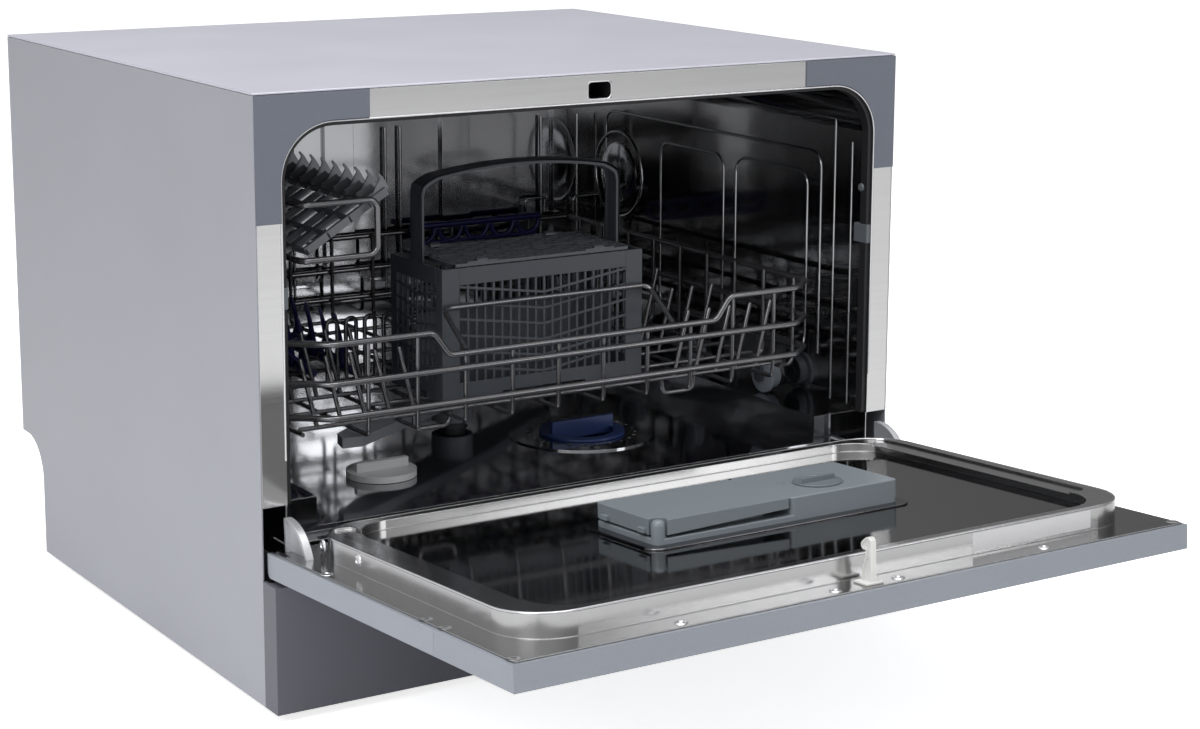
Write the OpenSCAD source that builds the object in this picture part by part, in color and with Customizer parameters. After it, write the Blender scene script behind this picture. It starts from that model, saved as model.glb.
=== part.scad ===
// Countertop dishwasher, six place settings: cabinet, steel tub, drop-down door and wire basket.
// Origin: middle of the footprint with the door open, on the surface it stands on. +Y is the back, +Z is up.

/* [Cabinet] */
// Width over the side panels
cabinet_w = 550; // [500:1:600]
// Height from the worktop to the top panel
cabinet_h = 438; // [420:1:480]
// Depth of the side panels
side_depth = 480; // [470:1:520]
// Height of the rubber feet
foot_h = 6; // [4:0.5:12]
// Radius of a rubber foot
foot_r = 14; // [10:1:18]
// Distance of the feet from the cabinet's edges
foot_inset = 42; // [36:1:60]
// Thickness of the cabinet's steel sheet
sheet_t = 1; // [0.8:0.1:1.2]
// Thickness of the top panel
top_t = 1.4; // [1:0.1:2]
// Open seam between the top panel and the sides
top_seam = 0.4; // [0.3:0.1:1]
// Depth of the hose notch low in the back
notch_depth = 46; // [40:1:50]
// Height of the hose notch's roof above the worktop
notch_top = 102; // [98:1:108]
// Radius of the notch's inner corner
notch_r = 34; // [20:1:38]

/* [Front] */
// How far the door and plinth stand in front of the side panels
front_proud = 20.2; // [18:0.1:22]
// Height of the plinth's upper edge above the worktop
plinth_top = 98; // [94:0.5:99]
// Wall of the plastic plinth
plinth_t = 2.5; // [2:0.1:3]
// Thickness of a corner trim
trim_t = 1.3; // [0.8:0.1:1.3]
// Length of a corner trim along the top
trim_len = 87; // [60:1:110]
// Length of a corner trim down the side
trim_drop = 88; // [60:1:110]

/* [Tub] */
// Distance between the tub's inner face and the outside of the side panels
tub_side_gap = 19.8; // [19.5:0.1:25]
// Distance of the tub's ceiling below the top of the cabinet
tub_drop = 22; // [21:0.5:28]
// Radius of the tub's upper corners
tub_r = 40; // [30:1:50]
// Distance of the tub's back wall in front of the cabinet's back
tub_back_gap = 55; // [52:1:60]
// Thickness of the tub's steel
tub_t = 0.8; // [0.6:0.1:1]
// Height of the wheel ledges above the worktop
ledge_z = 145.7; // [144:0.1:145.7]
// Width of a wheel ledge
ledge_w = 34; // [30:1:38]
// Height of the tub's floor above the worktop
tub_floor_z = 124; // [122:0.5:126]
// Thickness of the door seal
seal_t = 3.5; // [2.5:0.1:4]

/* [Door] */
// Distance of the door's sides inside the side panels
door_side_gap = 2.5; // [2:0.1:8]
// Height of the door's lower edge above the worktop, closed
door_bottom = 101; // [100.5:0.5:104]
// Thickness of the door without its plateau
door_t = 18.5; // [17:0.1:18.5]
// Angle that the door opens through
door_open = 86.5; // [80:0.5:88]
// Height of the hinge pivot above the worktop
pivot_z = 110; // [109:0.5:112]
// Distance of the hinge pivot in front of the side panels
pivot_out = 12; // [11:0.5:13]
// Radius of a hinge pin
pin_r = 3; // [2:0.1:3.5]
// Wall of the door's plastic control panel
panel_t = 2.5; // [2:0.1:3]
// Height of the control panel
control_h = 97; // [80:1:110]
// Clearance between the liner's plateau and the tub's walls
plateau_gap = 5.2; // [4.7:0.1:14]
// Height of the liner's rim above its flange
rim_h = 16.5; // [15:0.5:17]
// Height of the liner's pan above its flange
pan_h = 10; // [6:0.5:12]
// Height of the wheel channels above the flange
channel_h = 15; // [12:0.5:15]
// Width of the raised rim
rim_w = 8; // [6:0.5:9]
// Radius of the rim's outer corners
rim_r = 38; // [24:1:44]

/* [Dispenser] */
// Width of the detergent dispenser
dispenser_w = 207; // [190:1:220]
// Depth of the dispenser along the door
dispenser_d = 76; // [66:1:80]
// Width of the detergent lid
lid_w = 112; // [90:1:116]
// Distance of the dispenser's middle to the right of the door's middle
dispenser_x = 24.5; // [10:0.5:30]
// Height of the dispenser above the flange
dispenser_h = 28; // [26:0.5:28]
// Radius of the rinse-aid cap
rinse_r = 18; // [14:0.5:20]

/* [Basket] */
// Clearance between the basket's side rails and the tub's walls
basket_side_gap = 21.7; // [21.2:0.1:28]
// Clearance between the basket's back rail and the tub's back wall
basket_back_gap = 4; // [3.5:0.5:12]
// Distance of the front rail behind the cabinet's front when the basket is in
basket_inset = 30; // [29.5:0.5:36]
// Distance of the front rail in front of the cabinet when the basket is out
basket_reach = 236; // [170:1:238]
// Diameter of the rails
rail_d = 4.8; // [4:0.1:5.2]
// Diameter of the thinner wires
wire_d = 3.4; // [2.6:0.1:3.8]
// Height of the top rail above the worktop
rail_top = 252; // [246:1:256]
// Drop of the front rail in its middle
rail_dip = 18; // [12:1:20]
// Height of the middle rail
rail_mid = 223; // [216:1:226]
// Height of the bottom rail
rail_low = 198; // [192:1:202]
// Height of the basket's floor wires
floor_wire_z = 181; // [180:0.5:184]
// Radius of a basket wheel
wheel_r = 15; // [13:0.5:15]
// Width of a basket wheel
wheel_w = 8.6; // [8:0.1:9]

/* [Cutlery basket] */
// Width of the cutlery basket
cutlery_w = 178; // [150:1:190]
// Depth of the cutlery basket
cutlery_d = 82; // [70:1:90]
// Height of the cutlery basket
cutlery_h = 102; // [80:1:104]
// Distance of the cutlery basket's middle to the left of the dish basket's middle
cutlery_left = 4; // [0:1:10]
// Distance of the cutlery basket behind the basket's front rail
cutlery_back = 41; // [36:1:60]
// Wall of the cutlery basket
cutlery_t = 2; // [1.5:0.1:2.5]
// Height of the carrying handle above the lids
handle_h = 72; // [60:1:80]

/* [Cup shelves] */
// Length of a cup shelf along the tub's wall
shelf_l = 176; // [150:1:178]
// Reach of a cup shelf away from its rail
shelf_reach = 88; // [70:1:95]
// Upward slope of a lowered cup shelf
shelf_slope = 31; // [20:1:35]
// Height of the cup shelf's hinge rail
shelf_rail_z = 312; // [300:1:316]
// Distance between the shelf frame's two rails
shelf_frame_h = 40; // [30:1:46]

/* [Works] */
// Reach of the spray arm from its hub
spray_r = 188; // [150:1:192]
// Thread radius of the water inlet, a G3/4 outside thread
inlet_r = 13.2; // [12:0.1:14]
// Outer radius of the drain spigot
drain_r = 9.5; // [8:0.1:11]
// Radius of the hole for the mains cable
gland_r = 5; // [3.5:0.1:7]

/* [Hidden] */
$fn = 48;

// Cabinet
half_w = cabinet_w / 2;
top_under = cabinet_h - top_t;
side_top = top_under - top_seam;
inner_half = half_w - sheet_t;
notch_y = side_depth - notch_depth;
// Front frame and tub
frame_t = 1;
tub_w = cabinet_w - 2 * tub_side_gap;
tub_top = cabinet_h - tub_drop;
tub_depth = side_depth - tub_back_gap;
tub_half = tub_w / 2;
tub_outer = tub_half + tub_t;
leg_bottom = ledge_z + 4.3;
slot_w = 20;
slot_z = tub_top + 2.5;
slot_h = 12;
panel_gap = 28;
panel_pitch = (tub_w - 44) / 4;
back_wall_t = 0.8;
// Door, drawn closed and then turned open
door_front = -front_proud;
door_inner = door_front + door_t;
door_w = cabinet_w - 2 * door_side_gap;
door_half = door_w / 2;
door_top = cabinet_h - 1;
control_z = door_top - control_h;
pivot_y = -pivot_out;
open_reach = (door_top - pivot_z) * sin(door_open) + (pivot_out - front_proud) * -cos(door_open) + pivot_out;
front_y = -open_reach;
mid_y = (side_depth + front_y) / 2;
flange_t = 1;
pin_play = 0.1;
plateau_w = tub_w - 2 * plateau_gap;
plateau_z0 = pivot_z + 12;
plateau_z1 = tub_top - 4.5;
pan_y = door_inner + pan_h;
dispenser_z0 = door_top - 216;
dispenser_x0 = dispenser_x - dispenser_w / 2;
lid_y0 = door_inner + 15.4;
lid_hinge_y = door_inner + 20;
dispenser_y = door_inner + dispenser_h;
rinse_x = dispenser_x + 53;
rinse_z = dispenser_z0 + 48;
door_side_t = 2.5;
bracket_x = door_half - 6.1;
bracket_t = 2;
arm_x = bracket_x - 3.5;
arm_t = 2.5;
arm_len = 120;
screw_x = door_half - 5.5;
cover_x = arm_x - 5.9;
cover_t = 5.2;
// Basket, drawn pulled out and then pushed in
gap = 0.05;
basket_w = tub_w - 2 * basket_side_gap;
basket_d = tub_depth - basket_inset - basket_back_gap;
basket_travel = basket_reach + basket_inset;
basket_half = basket_w / 2;
basket_front = -basket_reach;
basket_back = basket_front + basket_d;
rail_x = basket_half - rail_d / 2;
post_x = rail_x - (rail_d + wire_d) / 2 - gap;
post_in = (rail_d + wire_d) / 2 + gap;
floor_top_z = floor_wire_z + wire_d + gap;
dip_left = -cutlery_left - cutlery_w / 2 - 23;
dip_right = cutlery_w / 2 - cutlery_left + 49;
dip_run = 13;
wheel_z = ledge_z + 0.3 + wheel_r;
wheel_x = basket_half + 3.5;
wheel_y = [basket_front + 83, basket_front + 193, basket_back - 105, basket_back - 27];
axle_r = 3;
axle_x0 = post_x + wire_d / 2 + 1;
axle_play = 0.1;
shelf_x = -basket_half + 11.5;
shelf_rail_y0 = basket_front + 10;
shelf_y = [shelf_rail_y0 + 9, shelf_rail_y0 + 20 + shelf_l];
shelf_t = 3;
// Cutlery basket
cutlery_x0 = -cutlery_left - cutlery_w / 2;
cutlery_y0 = basket_front + cutlery_back;
cutlery_z0 = floor_top_z + wire_d / 2 + 0.3;
cutlery_top = cutlery_z0 + cutlery_h;
cutlery_lid_t = 2.5;
cutlery_lid_z = cutlery_top + 0.5;
cutlery_lid_in = 1.5;
handle_t = 7;
handle_depth = 16;
// Works
hub_y = 225;
sump_x = 78;
sump_y = 148;
sump_r = 56;
filter_r = 32;
salt_x = -120;
salt_y = 120;
salt_r = 27;
pan_floor = foot_h + 1.5;
pipe_z = 74;
inlet_x = -170;
drain_x = -110;
gland_x = 190;
port_z = 58;
button_r = 7;
button_x = door_half - 62.5;
button_z = control_z + 46;

// ---- Shared shapes ----

// Puts a piece drawn from the side panels' front edge into the part's own frame.
module place() translate([0, -mid_y, 0]) children();

// Turns a piece of the closed door to the open position.
module on_door() place() translate([0, pivot_y, pivot_z]) rotate([door_open, 0, 0])
    translate([0, -pivot_y, -pivot_z]) children();

// Moves a piece of the pulled-out basket into the tub.
module in_basket() place() translate([0, basket_travel, 0]) children();

module both_sides() {
    children();
    mirror([1, 0, 0]) children();
}

// A block given by its lowest and highest corners.
module block(a, b) translate(a) cube(b - a);

// A rectangle with rounded corners, from corner a to corner b.
module round_rect(a, b, r) {
    translate([a[0] + r, a[1]]) square([b[0] - a[0] - 2 * r, b[1] - a[1]]);
    translate([a[0], a[1] + r]) square([b[0] - a[0], b[1] - a[1] - 2 * r]);
    for (x = [a[0] + r, b[0] - r], y = [a[1] + r, b[1] - r]) translate([x, y]) circle(r);
}

// Stands a flat outline, drawn in X and Z, upright between y0 and y1.
module upright(y0, y1) translate([0, y1, 0]) rotate([90, 0, 0]) linear_extrude(y1 - y0) children();

// A flat plate with a grid of rectangular windows, lying on z = 0.
module grid_plate(w, h, t, border, nx, ny, bar) {
    win_w = (w - 2 * border - (nx - 1) * bar) / nx;
    win_h = (h - 2 * border - (ny - 1) * bar) / ny;
    corners = [[0, 0], [w, 0], [w, h], [0, h]];
    windows = [for (i = [0:nx - 1], j = [0:ny - 1])
        let (x = border + i * (win_w + bar), y = border + j * (win_h + bar))
        each [[x, y], [x, y + win_h], [x + win_w, y + win_h], [x + win_w, y]]];
    linear_extrude(t) polygon(concat(corners, windows),
        [for (k = [0:nx * ny]) [4 * k, 4 * k + 1, 4 * k + 2, 4 * k + 3]]);
}

function unit(v) = v / norm(v);

// A straight wire from p to q.
module rod(p, q, d) {
    v = q - p;
    translate(p) rotate([0, acos(v[2] / norm(v)), atan2(v[1], v[0])]) cylinder(d = d, h = norm(v));
}

// The points of a bend of radius r at b, between a and c.
function bend(a, b, c, r, steps = 3) =
    let (u = unit(a - b), v = unit(c - b), half = acos(u * v) / 2, centre = b + unit(u + v) * r / sin(half),
        e = unit(b + u * r / tan(half) - centre), turn = (180 - 2 * half) / steps)
    [for (k = [0:steps]) centre + r * (e * cos(k * turn) - u * sin(k * turn))];

function bent_path(pts, r) = [pts[0],
    for (i = [1:1:len(pts) - 2]) each bend(pts[i - 1], pts[i], pts[i + 1], r),
    pts[len(pts) - 1]];

// A bent wire through the points, with rounded bends. No stretch runs along ref.
module bent_wire(pts, r, d, ref = [0, 0, 1], sides = 8) {
    path = bent_path(pts, r);
    n = len(path);
    ring = [for (i = [0:n - 1])
        let (t = unit(path[min(i + 1, n - 1)] - path[max(i - 1, 0)]), s = unit(cross(ref, t)))
        let (w = cross(t, s))
        each [for (a = [0:360 / sides:359]) path[i] + d / 2 * (s * cos(a) + w * sin(a))]];
    sides_faces = [for (i = [0:n - 2], k = [0:sides - 1])
        let (k2 = (k + 1) % sides, a = i * sides + k, b = i * sides + k2)
        each [[a, b, a + sides], [b, b + sides, a + sides]]];
    caps = [[for (k = [sides - 1:-1:0]) k], [for (k = [0:sides - 1]) (n - 1) * sides + k]];
    polyhedron(ring, concat([for (f = sides_faces) [f[2], f[1], f[0]]],
        [for (c = caps) [for (k = [len(c) - 1:-1:0]) c[k]]]));
}

// ---- Cabinet ----

// The tub's opening, grown outward by g.
module tub_outline(g, z0) {
    hull_top = tub_top + g;
    half = tub_half + g;
    r = tub_r + g;
    translate([-half, z0]) square([2 * half, hull_top - r - z0]);
    translate([-half + r, z0]) square([2 * half - 2 * r, hull_top - z0]);
    for (s = [-1, 1]) translate([s * (half - r), hull_top - r]) circle(r);
}

module side_outline() difference() {
    translate([0, foot_h]) square([side_depth, side_top - foot_h]);
    translate([notch_y + notch_r, foot_h - 1]) square([notch_depth, notch_top - foot_h + 1]);
    translate([notch_y, foot_h - 1]) square([notch_depth, notch_top - notch_r - foot_h + 1]);
    translate([notch_y + notch_r, notch_top - notch_r]) circle(notch_r);
}

module left_side_panel() color([0.70, 0.72, 0.75]) place() {
    translate([-half_w, 0, 0]) rotate([90, 0, 90]) linear_extrude(sheet_t) side_outline();
}

module right_side_panel() color([0.70, 0.72, 0.75]) mirror([1, 0, 0]) left_side_panel();

module top_panel() color([0.78, 0.78, 0.83]) place() difference() {
    block([-half_w, 0, top_under], [half_w, side_depth, cabinet_h]);
    // the front edge is rolled
    rotate([0, 90, 0]) translate([-cabinet_h, 0, 0]) difference() {
        translate([-1, -1, -half_w - 1]) cube([1 + top_t / 2, 1 + top_t / 2, cabinet_w + 2]);
        translate([top_t / 2, top_t / 2, -half_w - 2]) cylinder(r = top_t / 2, h = cabinet_w + 4);
    }
}

module back_panel() color([0.62, 0.64, 0.67]) place() difference() {
    translate([-inner_half, 0, 0]) rotate([90, 0, 90]) linear_extrude(2 * inner_half) polygon([
        [notch_y - sheet_t, pan_floor], [notch_y, pan_floor], [notch_y, notch_top], [side_depth, notch_top],
        [side_depth, side_top], [side_depth - sheet_t, side_top], [side_depth - sheet_t, notch_top + sheet_t],
        [notch_y - sheet_t, notch_top + sheet_t]]);
    for (p = [[inlet_x, inlet_r + 2], [drain_x, drain_r + 2], [gland_x, gland_r + 2]])
        translate([p[0], notch_y - 2, port_z]) rotate([-90, 0, 0]) cylinder(r = p[1], h = 4);
    // louvres over the pump
    for (i = [0:8]) block([-60, side_depth - 2, 130 + 9 * i], [60, side_depth + 1, 133 + 9 * i]);
}

module base_pan() color([0.35, 0.36, 0.38]) place() difference() {
    block([-inner_half, 3, foot_h], [inner_half, notch_y - sheet_t, foot_h + 20]);
    block([-inner_half + 1.5, 4.5, pan_floor], [inner_half - 1.5, notch_y, foot_h + 21]);
}

module rubber_feet() color([0.10, 0.10, 0.11]) place()
    for (x = [-1, 1], y = [foot_inset, notch_y - foot_inset])
        translate([x * (half_w - foot_inset), y, 0]) {
            cylinder(r1 = foot_r - 1, r2 = foot_r, h = 2);
            translate([0, 0, 2]) cylinder(r = foot_r, h = foot_h - 2);
        }

module plinth_panel() color([0.33, 0.33, 0.37]) place() difference() {
    block([-half_w, door_front, foot_h], [half_w, 0, plinth_top]);
    block([-half_w + plinth_t, door_front + plinth_t, foot_h - 1],
        [half_w - plinth_t, 1, plinth_top - plinth_t]);
    // the top stays clear of the turning door
    block([-half_w + plinth_t, -6, plinth_top - plinth_t - 1], [half_w - plinth_t, 1, plinth_top + 1]);
}

module corner_trims() color([0.40, 0.43, 0.48]) place() both_sides() upright(-trim_t, 0) difference() {
    union() {
        translate([half_w - trim_len, tub_top + 0.6]) square([trim_len - 0.3, side_top - tub_top - 0.6]);
        translate([tub_half + 0.6, side_top - trim_drop]) square([half_w - tub_half - 0.9, trim_drop]);
        translate([tub_half - tub_r, tub_top - tub_r]) square([tub_r + 2, tub_r + 2]);
    }
    translate([tub_half - tub_r, tub_top - tub_r]) circle(tub_r + 0.6);
    translate([half_w - trim_len - 1, tub_top - tub_r - 1])
        square([tub_half - tub_r - half_w + trim_len + 1, tub_r + 1.6]);
}

module tub_wrap() color([0.60, 0.61, 0.63]) place() {
    // front frame, an upside-down U with the lock's slot
    upright(0, frame_t) difference() {
        translate([-inner_half, leg_bottom]) square([2 * inner_half, side_top - leg_bottom]);
        tub_outline(0, leg_bottom - 1);
        translate([-slot_w / 2, slot_z]) square([slot_w, slot_h]);
    }
    // side walls and ceiling
    upright(frame_t, tub_depth) difference() {
        tub_outline(tub_t, ledge_z - 24);
        tub_outline(0, ledge_z - 25);
    }
}

// Outline of a panel pressed into the back wall, grown outward by g.
module pressed_panel(x, g) {
    half = (panel_pitch - panel_gap) / 2 + g;
    round_rect([x - half, tub_floor_z + 86 - g], [x + half, tub_top - 31 + g], 18 + g);
}

module tub_back_wall() color([0.45, 0.46, 0.48]) place() {
    upright(tub_depth, tub_depth + back_wall_t) difference() {
        tub_outline(tub_t, tub_floor_z);
        for (i = [-1.5:1.5]) pressed_panel(i * panel_pitch, 0);
    }
    for (i = [-1.5:1.5]) {
        upright(tub_depth, tub_depth + 4) difference() {
            pressed_panel(i * panel_pitch, back_wall_t);
            pressed_panel(i * panel_pitch, 0);
        }
        upright(tub_depth + 4, tub_depth + 4 + back_wall_t)
            pressed_panel(i * panel_pitch, back_wall_t);
    }
}

module tub_floor() color([0.50, 0.51, 0.53]) place() difference() {
    union() {
        upright(24, tub_depth) polygon([[-tub_half, ledge_z], [-tub_half + ledge_w, ledge_z],
            [-tub_half + ledge_w, tub_floor_z], [tub_half - ledge_w, tub_floor_z],
            [tub_half - ledge_w, ledge_z], [tub_half, ledge_z], [tub_half, ledge_z - tub_t],
            [tub_half - ledge_w + tub_t, ledge_z - tub_t], [tub_half - ledge_w + tub_t, tub_floor_z - tub_t],
            [-tub_half + ledge_w - tub_t, tub_floor_z - tub_t], [-tub_half + ledge_w - tub_t, ledge_z - tub_t],
            [-tub_half, ledge_z - tub_t]]);
        // sill under the door's plateau
        block([-tub_half, 4, 119.2], [tub_half, 24, 120]);
        block([-tub_half, 24, 119.2], [tub_half, 24 + tub_t, tub_floor_z]);
        both_sides() block([tub_half - ledge_w, 24, 119.2], [tub_half, 24 + tub_t, ledge_z]);
    }
    translate([sump_x, sump_y, 100]) cylinder(r = sump_r - 6, h = 40);
    translate([salt_x, salt_y, 100]) cylinder(r = salt_r - 2, h = 40);
    translate([0, hub_y, 100]) cylinder(r = 13, h = 40);
}

module door_seal() color([0.06, 0.06, 0.07]) place() upright(frame_t + 1, frame_t + 9) difference() {
    tub_outline(0, leg_bottom);
    tub_outline(-seal_t, leg_bottom - 1);
}

module door_lock() color([0.16, 0.16, 0.17]) place() difference() {
    block([-24, frame_t, tub_top + tub_t + 0.2], [24, 44, side_top]);
    block([-slot_w / 2, 0, slot_z - 0.5], [slot_w / 2, 38, slot_z + slot_h + 0.5]);
}

module hinge_brackets() color([0.55, 0.57, 0.60]) place() both_sides() {
    translate([bracket_x, 0, 0]) rotate([90, 0, 90]) linear_extrude(bracket_t) difference() {
        union() {
            translate([pivot_y, pivot_z]) circle(6);
            translate([pivot_y, pivot_z - 6]) square([pivot_out + 5, 12]);
            translate([4.5, pan_floor]) square([26, pivot_z + 6 - pan_floor]);
        }
        translate([pivot_y, pivot_z]) circle(pin_r + pin_play);
    }
    block([bracket_x - 16, 4.5, pan_floor], [bracket_x + bracket_t, 30.5, pan_floor + 2]);
}

module hinge_pins() color([0.75, 0.76, 0.78]) place() both_sides() {
    translate([arm_x - 1, pivot_y, pivot_z]) rotate([0, 90, 0]) cylinder(r = pin_r, h = 6.7);
    translate([bracket_x + bracket_t + 0.1, pivot_y, pivot_z]) rotate([0, 90, 0])
            cylinder(r = pin_r + 1.2, h = 0.7);
}

// A pipe lying at pipe_z from the sump's middle towards the spray arm's hub, between two distances.
module suction_pipe(from, to, r) translate([sump_x, sump_y, pipe_z])
    rotate([0, 90, atan2(hub_y - sump_y, -sump_x)]) translate([0, 0, from]) cylinder(r = r, h = to - from);

module sump() color([0.25, 0.26, 0.28]) place() {
    difference() {
        union() {
            translate([sump_x, sump_y, 58]) cylinder(r = sump_r, h = tub_floor_z - tub_t - 58);
            suction_pipe(sump_r - 1.5, sump_r + 14, 11);
        }
        translate([sump_x, sump_y, 60.5]) cylinder(r = sump_r - 3, h = 80);
        suction_pipe(sump_r - 6, sump_r + 16, 8.5);
    }
}

module filter_plate() color([0.72, 0.73, 0.74]) place() translate([sump_x, sump_y, tub_floor_z]) difference() {
    cylinder(r = sump_r + 4, h = 1.2);
    translate([0, 0, -1]) cylinder(r = filter_r + 0.6, h = 4);
    for (a = [0:15:345]) rotate([0, 0, a]) translate([sump_r - 12, 0, -1]) cylinder(r = 2.2, h = 4);
}

module micro_filter() color([0.20, 0.32, 0.62]) place() translate([sump_x, sump_y, 0]) {
    difference() {
        translate([0, 0, 66]) cylinder(r = filter_r, h = tub_floor_z - 64);
        translate([0, 0, 68]) cylinder(r = filter_r - 1.6, h = 90);
    }
    difference() {
        translate([0, 0, tub_floor_z + 1.5]) cylinder(r = filter_r + 3, h = 2);
        translate([0, 0, tub_floor_z]) cylinder(r = filter_r - 6, h = 8);
    }
    block([-filter_r + 3, -2, tub_floor_z - 2], [filter_r - 3, 2, tub_floor_z + 13]);
}

module wash_pump() color([0.30, 0.31, 0.33]) place() {
    translate([0, hub_y, 16]) cylinder(r = 40, h = 44);
    translate([0, hub_y + 30, 50]) rotate([-90, 0, 0]) cylinder(r = 34, h = 90);
    block([-26, hub_y + 6, pan_floor], [26, hub_y + 112, 30]);
    difference() {
        translate([0, hub_y, 50]) cylinder(r = 11, h = 96);
        translate([0, hub_y, 70]) cylinder(r = 9, h = 80);
    }
    // flow heater and the pipe from the sump
    translate([0, hub_y, 59]) cylinder(r = 24, h = 30);
    suction_pipe(sump_r + 14, norm([sump_x, hub_y - sump_y]), 11);
}

module drain_pump() color([0.20, 0.20, 0.22]) place() translate([178, 150, 0]) {
    translate([-30, 0, 38]) rotate([0, 90, 0]) cylinder(r = 22, h = 60);
    block([-24, -14, pan_floor], [24, 14, 24]);
    translate([-43.9, 0, 66]) rotate([0, 90, 0]) cylinder(r = 9, h = 30);
    translate([-16, 0, 40]) cylinder(r = 9, h = 32);
}

module water_softener() color([0.86, 0.87, 0.88]) place() difference() {
    union() {
        block([salt_x - 66, salt_y - 48, pan_floor], [salt_x + 62, salt_y + 60, tub_floor_z - 12]);
        translate([salt_x, salt_y, 100]) cylinder(r = salt_r - 3, h = tub_floor_z - 100);
    }
    translate([salt_x, salt_y, 40]) cylinder(r = salt_r - 6, h = 100);
}

module salt_cap() color([0.80, 0.81, 0.82]) place() translate([salt_x, salt_y, 0]) {
    translate([0, 0, tub_floor_z + 0.3]) cylinder(r = salt_r, h = 5);
    translate([0, 0, tub_floor_z - 10]) cylinder(r = salt_r - 6.4, h = 12);
    block([-salt_r + 5, -2.5, tub_floor_z + 5], [salt_r - 5, 2.5, tub_floor_z + 12]);
}

module spray_arm() color([0.55, 0.57, 0.60]) place() translate([0, hub_y, 0]) difference() {
    union() {
        translate([0, 0, 130]) cylinder(r = 17, h = 24);
        translate([0, 0, 150]) rotate([0, 0, 35]) linear_extrude(8) {
            polygon([[-spray_r + 12, -11], [-40, -19], [40, -19], [spray_r - 12, -11],
                [spray_r, 0], [spray_r - 12, 11], [40, 19], [-40, 19], [-spray_r + 12, 11], [-spray_r, 0]]);
        }
        rotate([0, 0, 35]) for (x = [-168, -130, -90, -52, 52, 90, 130, 168])
            translate([x, 0, 157]) cylinder(r = 3.2, h = 2.2);
    }
    translate([0, 0, 129]) cylinder(r = 11.4, h = 17.5);
}

module inlet_valve() color([0.90, 0.91, 0.92]) place() translate([inlet_x, 0, 0]) difference() {
    union() {
        block([-18, notch_y - 50, pan_floor], [18, notch_y - 14, port_z + 20]);
        translate([0, notch_y - 15, port_z]) rotate([-90, 0, 0]) cylinder(r = inlet_r - 1, h = 13);
        translate([0, notch_y - 3, port_z]) rotate([-90, 0, 0]) cylinder(r = inlet_r, h = 17);
        translate([0, notch_y - 6.5, port_z]) rotate([-90, 0, 0]) cylinder(r = inlet_r + 5, h = 5);
    }
    translate([0, notch_y - 8, port_z]) rotate([-90, 0, 0]) cylinder(r = inlet_r - 3.4, h = 24);
}

module rear_fittings() color([0.22, 0.22, 0.24]) place() {
    translate([drain_x, 0, 0]) difference() {
        union() {
            translate([0, notch_y - 30, port_z]) rotate([-90, 0, 0]) cylinder(r = drain_r, h = 62);
            translate([0, notch_y - 6, port_z]) rotate([-90, 0, 0]) cylinder(r = drain_r + 4, h = 5);
            block([-10, notch_y - 28, pan_floor], [10, notch_y - 12, port_z - 3]);
        }
        translate([0, notch_y - 31, port_z]) rotate([-90, 0, 0]) cylinder(r = drain_r - 2.5, h = 64);
    }
    translate([gland_x, notch_y, port_z]) rotate([-90, 0, 0]) difference() {
        union() {
            translate([0, 0, -sheet_t]) cylinder(r = gland_r + 1.8, h = sheet_t + 1);
            cylinder(r = gland_r + 5, h = 4);
            translate([0, 0, -sheet_t - 3]) cylinder(r = gland_r + 5, h = 3);
        }
        translate([0, 0, -10]) cylinder(r = gland_r, h = 20);
    }
}

module air_break() color([0.85, 0.86, 0.87]) place() difference() {
    block([tub_outer, tub_depth - 285, ledge_z + 30], [inner_half - 1.5, tub_depth - 65, tub_top - 44]);
    block([tub_outer + 2, tub_depth - 283, ledge_z + 32], [inner_half - 3.5, tub_depth - 67, tub_top - 46]);
}

module cabinet_screws() color([0.80, 0.80, 0.82]) place()
    for (x = [-inner_half + 24, -60, 60, inner_half - 24])
        translate([x, notch_y, notch_top - 14]) rotate([-90, 0, 0]) cylinder(r = 3.6, h = 2);

// ---- Door, drawn closed ----

screw_spots = [for (s = [-1, 1], z = [254, 116, 92, 9]) [s * screw_x, door_top - z],
    for (s = [-1, 1]) [s * 148, door_top - 13]];

// The door's shell from the side, with a rolled lower edge; inner shapes are cut back by t.
module skin_profile(t) {
    translate([door_front + t, door_bottom + 4])
        square([door_t - flange_t - 0.1 - t, control_z - door_bottom - 4.2]);
    translate([door_front + 4, door_bottom + t]) square([door_t - flange_t - 4.1, 8]);
    translate([door_front + 4, door_bottom + 4]) circle(4 - t);
}

module door_outer_panel() color([0.55, 0.58, 0.62]) on_door() difference() {
    translate([-door_half, 0, 0]) rotate([90, 0, 90]) linear_extrude(door_w) skin_profile(0);
    translate([-door_half + door_side_t, 0, 0]) rotate([90, 0, 90])
    linear_extrude(door_w - 2 * door_side_t) union() {
        skin_profile(1);
        translate([door_front + 1, door_bottom + 4]) square([door_t, control_z]);
        translate([door_front + 4, door_bottom + 1]) square([door_t, 8]);
    }
    both_sides()
        block([bracket_x - 0.8, door_front + 1.6, door_bottom - 1],
            [door_half - door_side_t, 3, door_bottom + 6]);
}

module control_panel() color([0.52, 0.55, 0.60]) on_door() difference() {
    union() {
        difference() {
            block([-door_half, door_front, control_z], [door_half, door_inner - flange_t - 0.1, door_top]);
            block([-door_half + panel_t, door_front + panel_t, control_z - 1],
                [door_half - panel_t, door_inner + 1, door_top - panel_t]);
            block([-68, door_front - 1, door_top - 33], [68, door_front + 9, door_top - 9]);
        }
        // grip recess
        difference() {
            block([-70, door_front + 1, door_top - 35], [70, door_front + 14, door_top - 7]);
            block([-68, door_front, door_top - 33], [68, door_front + 12, door_top - 9]);
        }
    }
    for (x = [-button_x, button_x]) translate([x, door_front - 1, button_z]) rotate([-90, 0, 0])
        cylinder(r = button_r + 0.3, h = 6);
    block([94.8, door_front - 1, button_z - 11.2], [165.2, door_front + 1.2, button_z + 11.2]);
}

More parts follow.
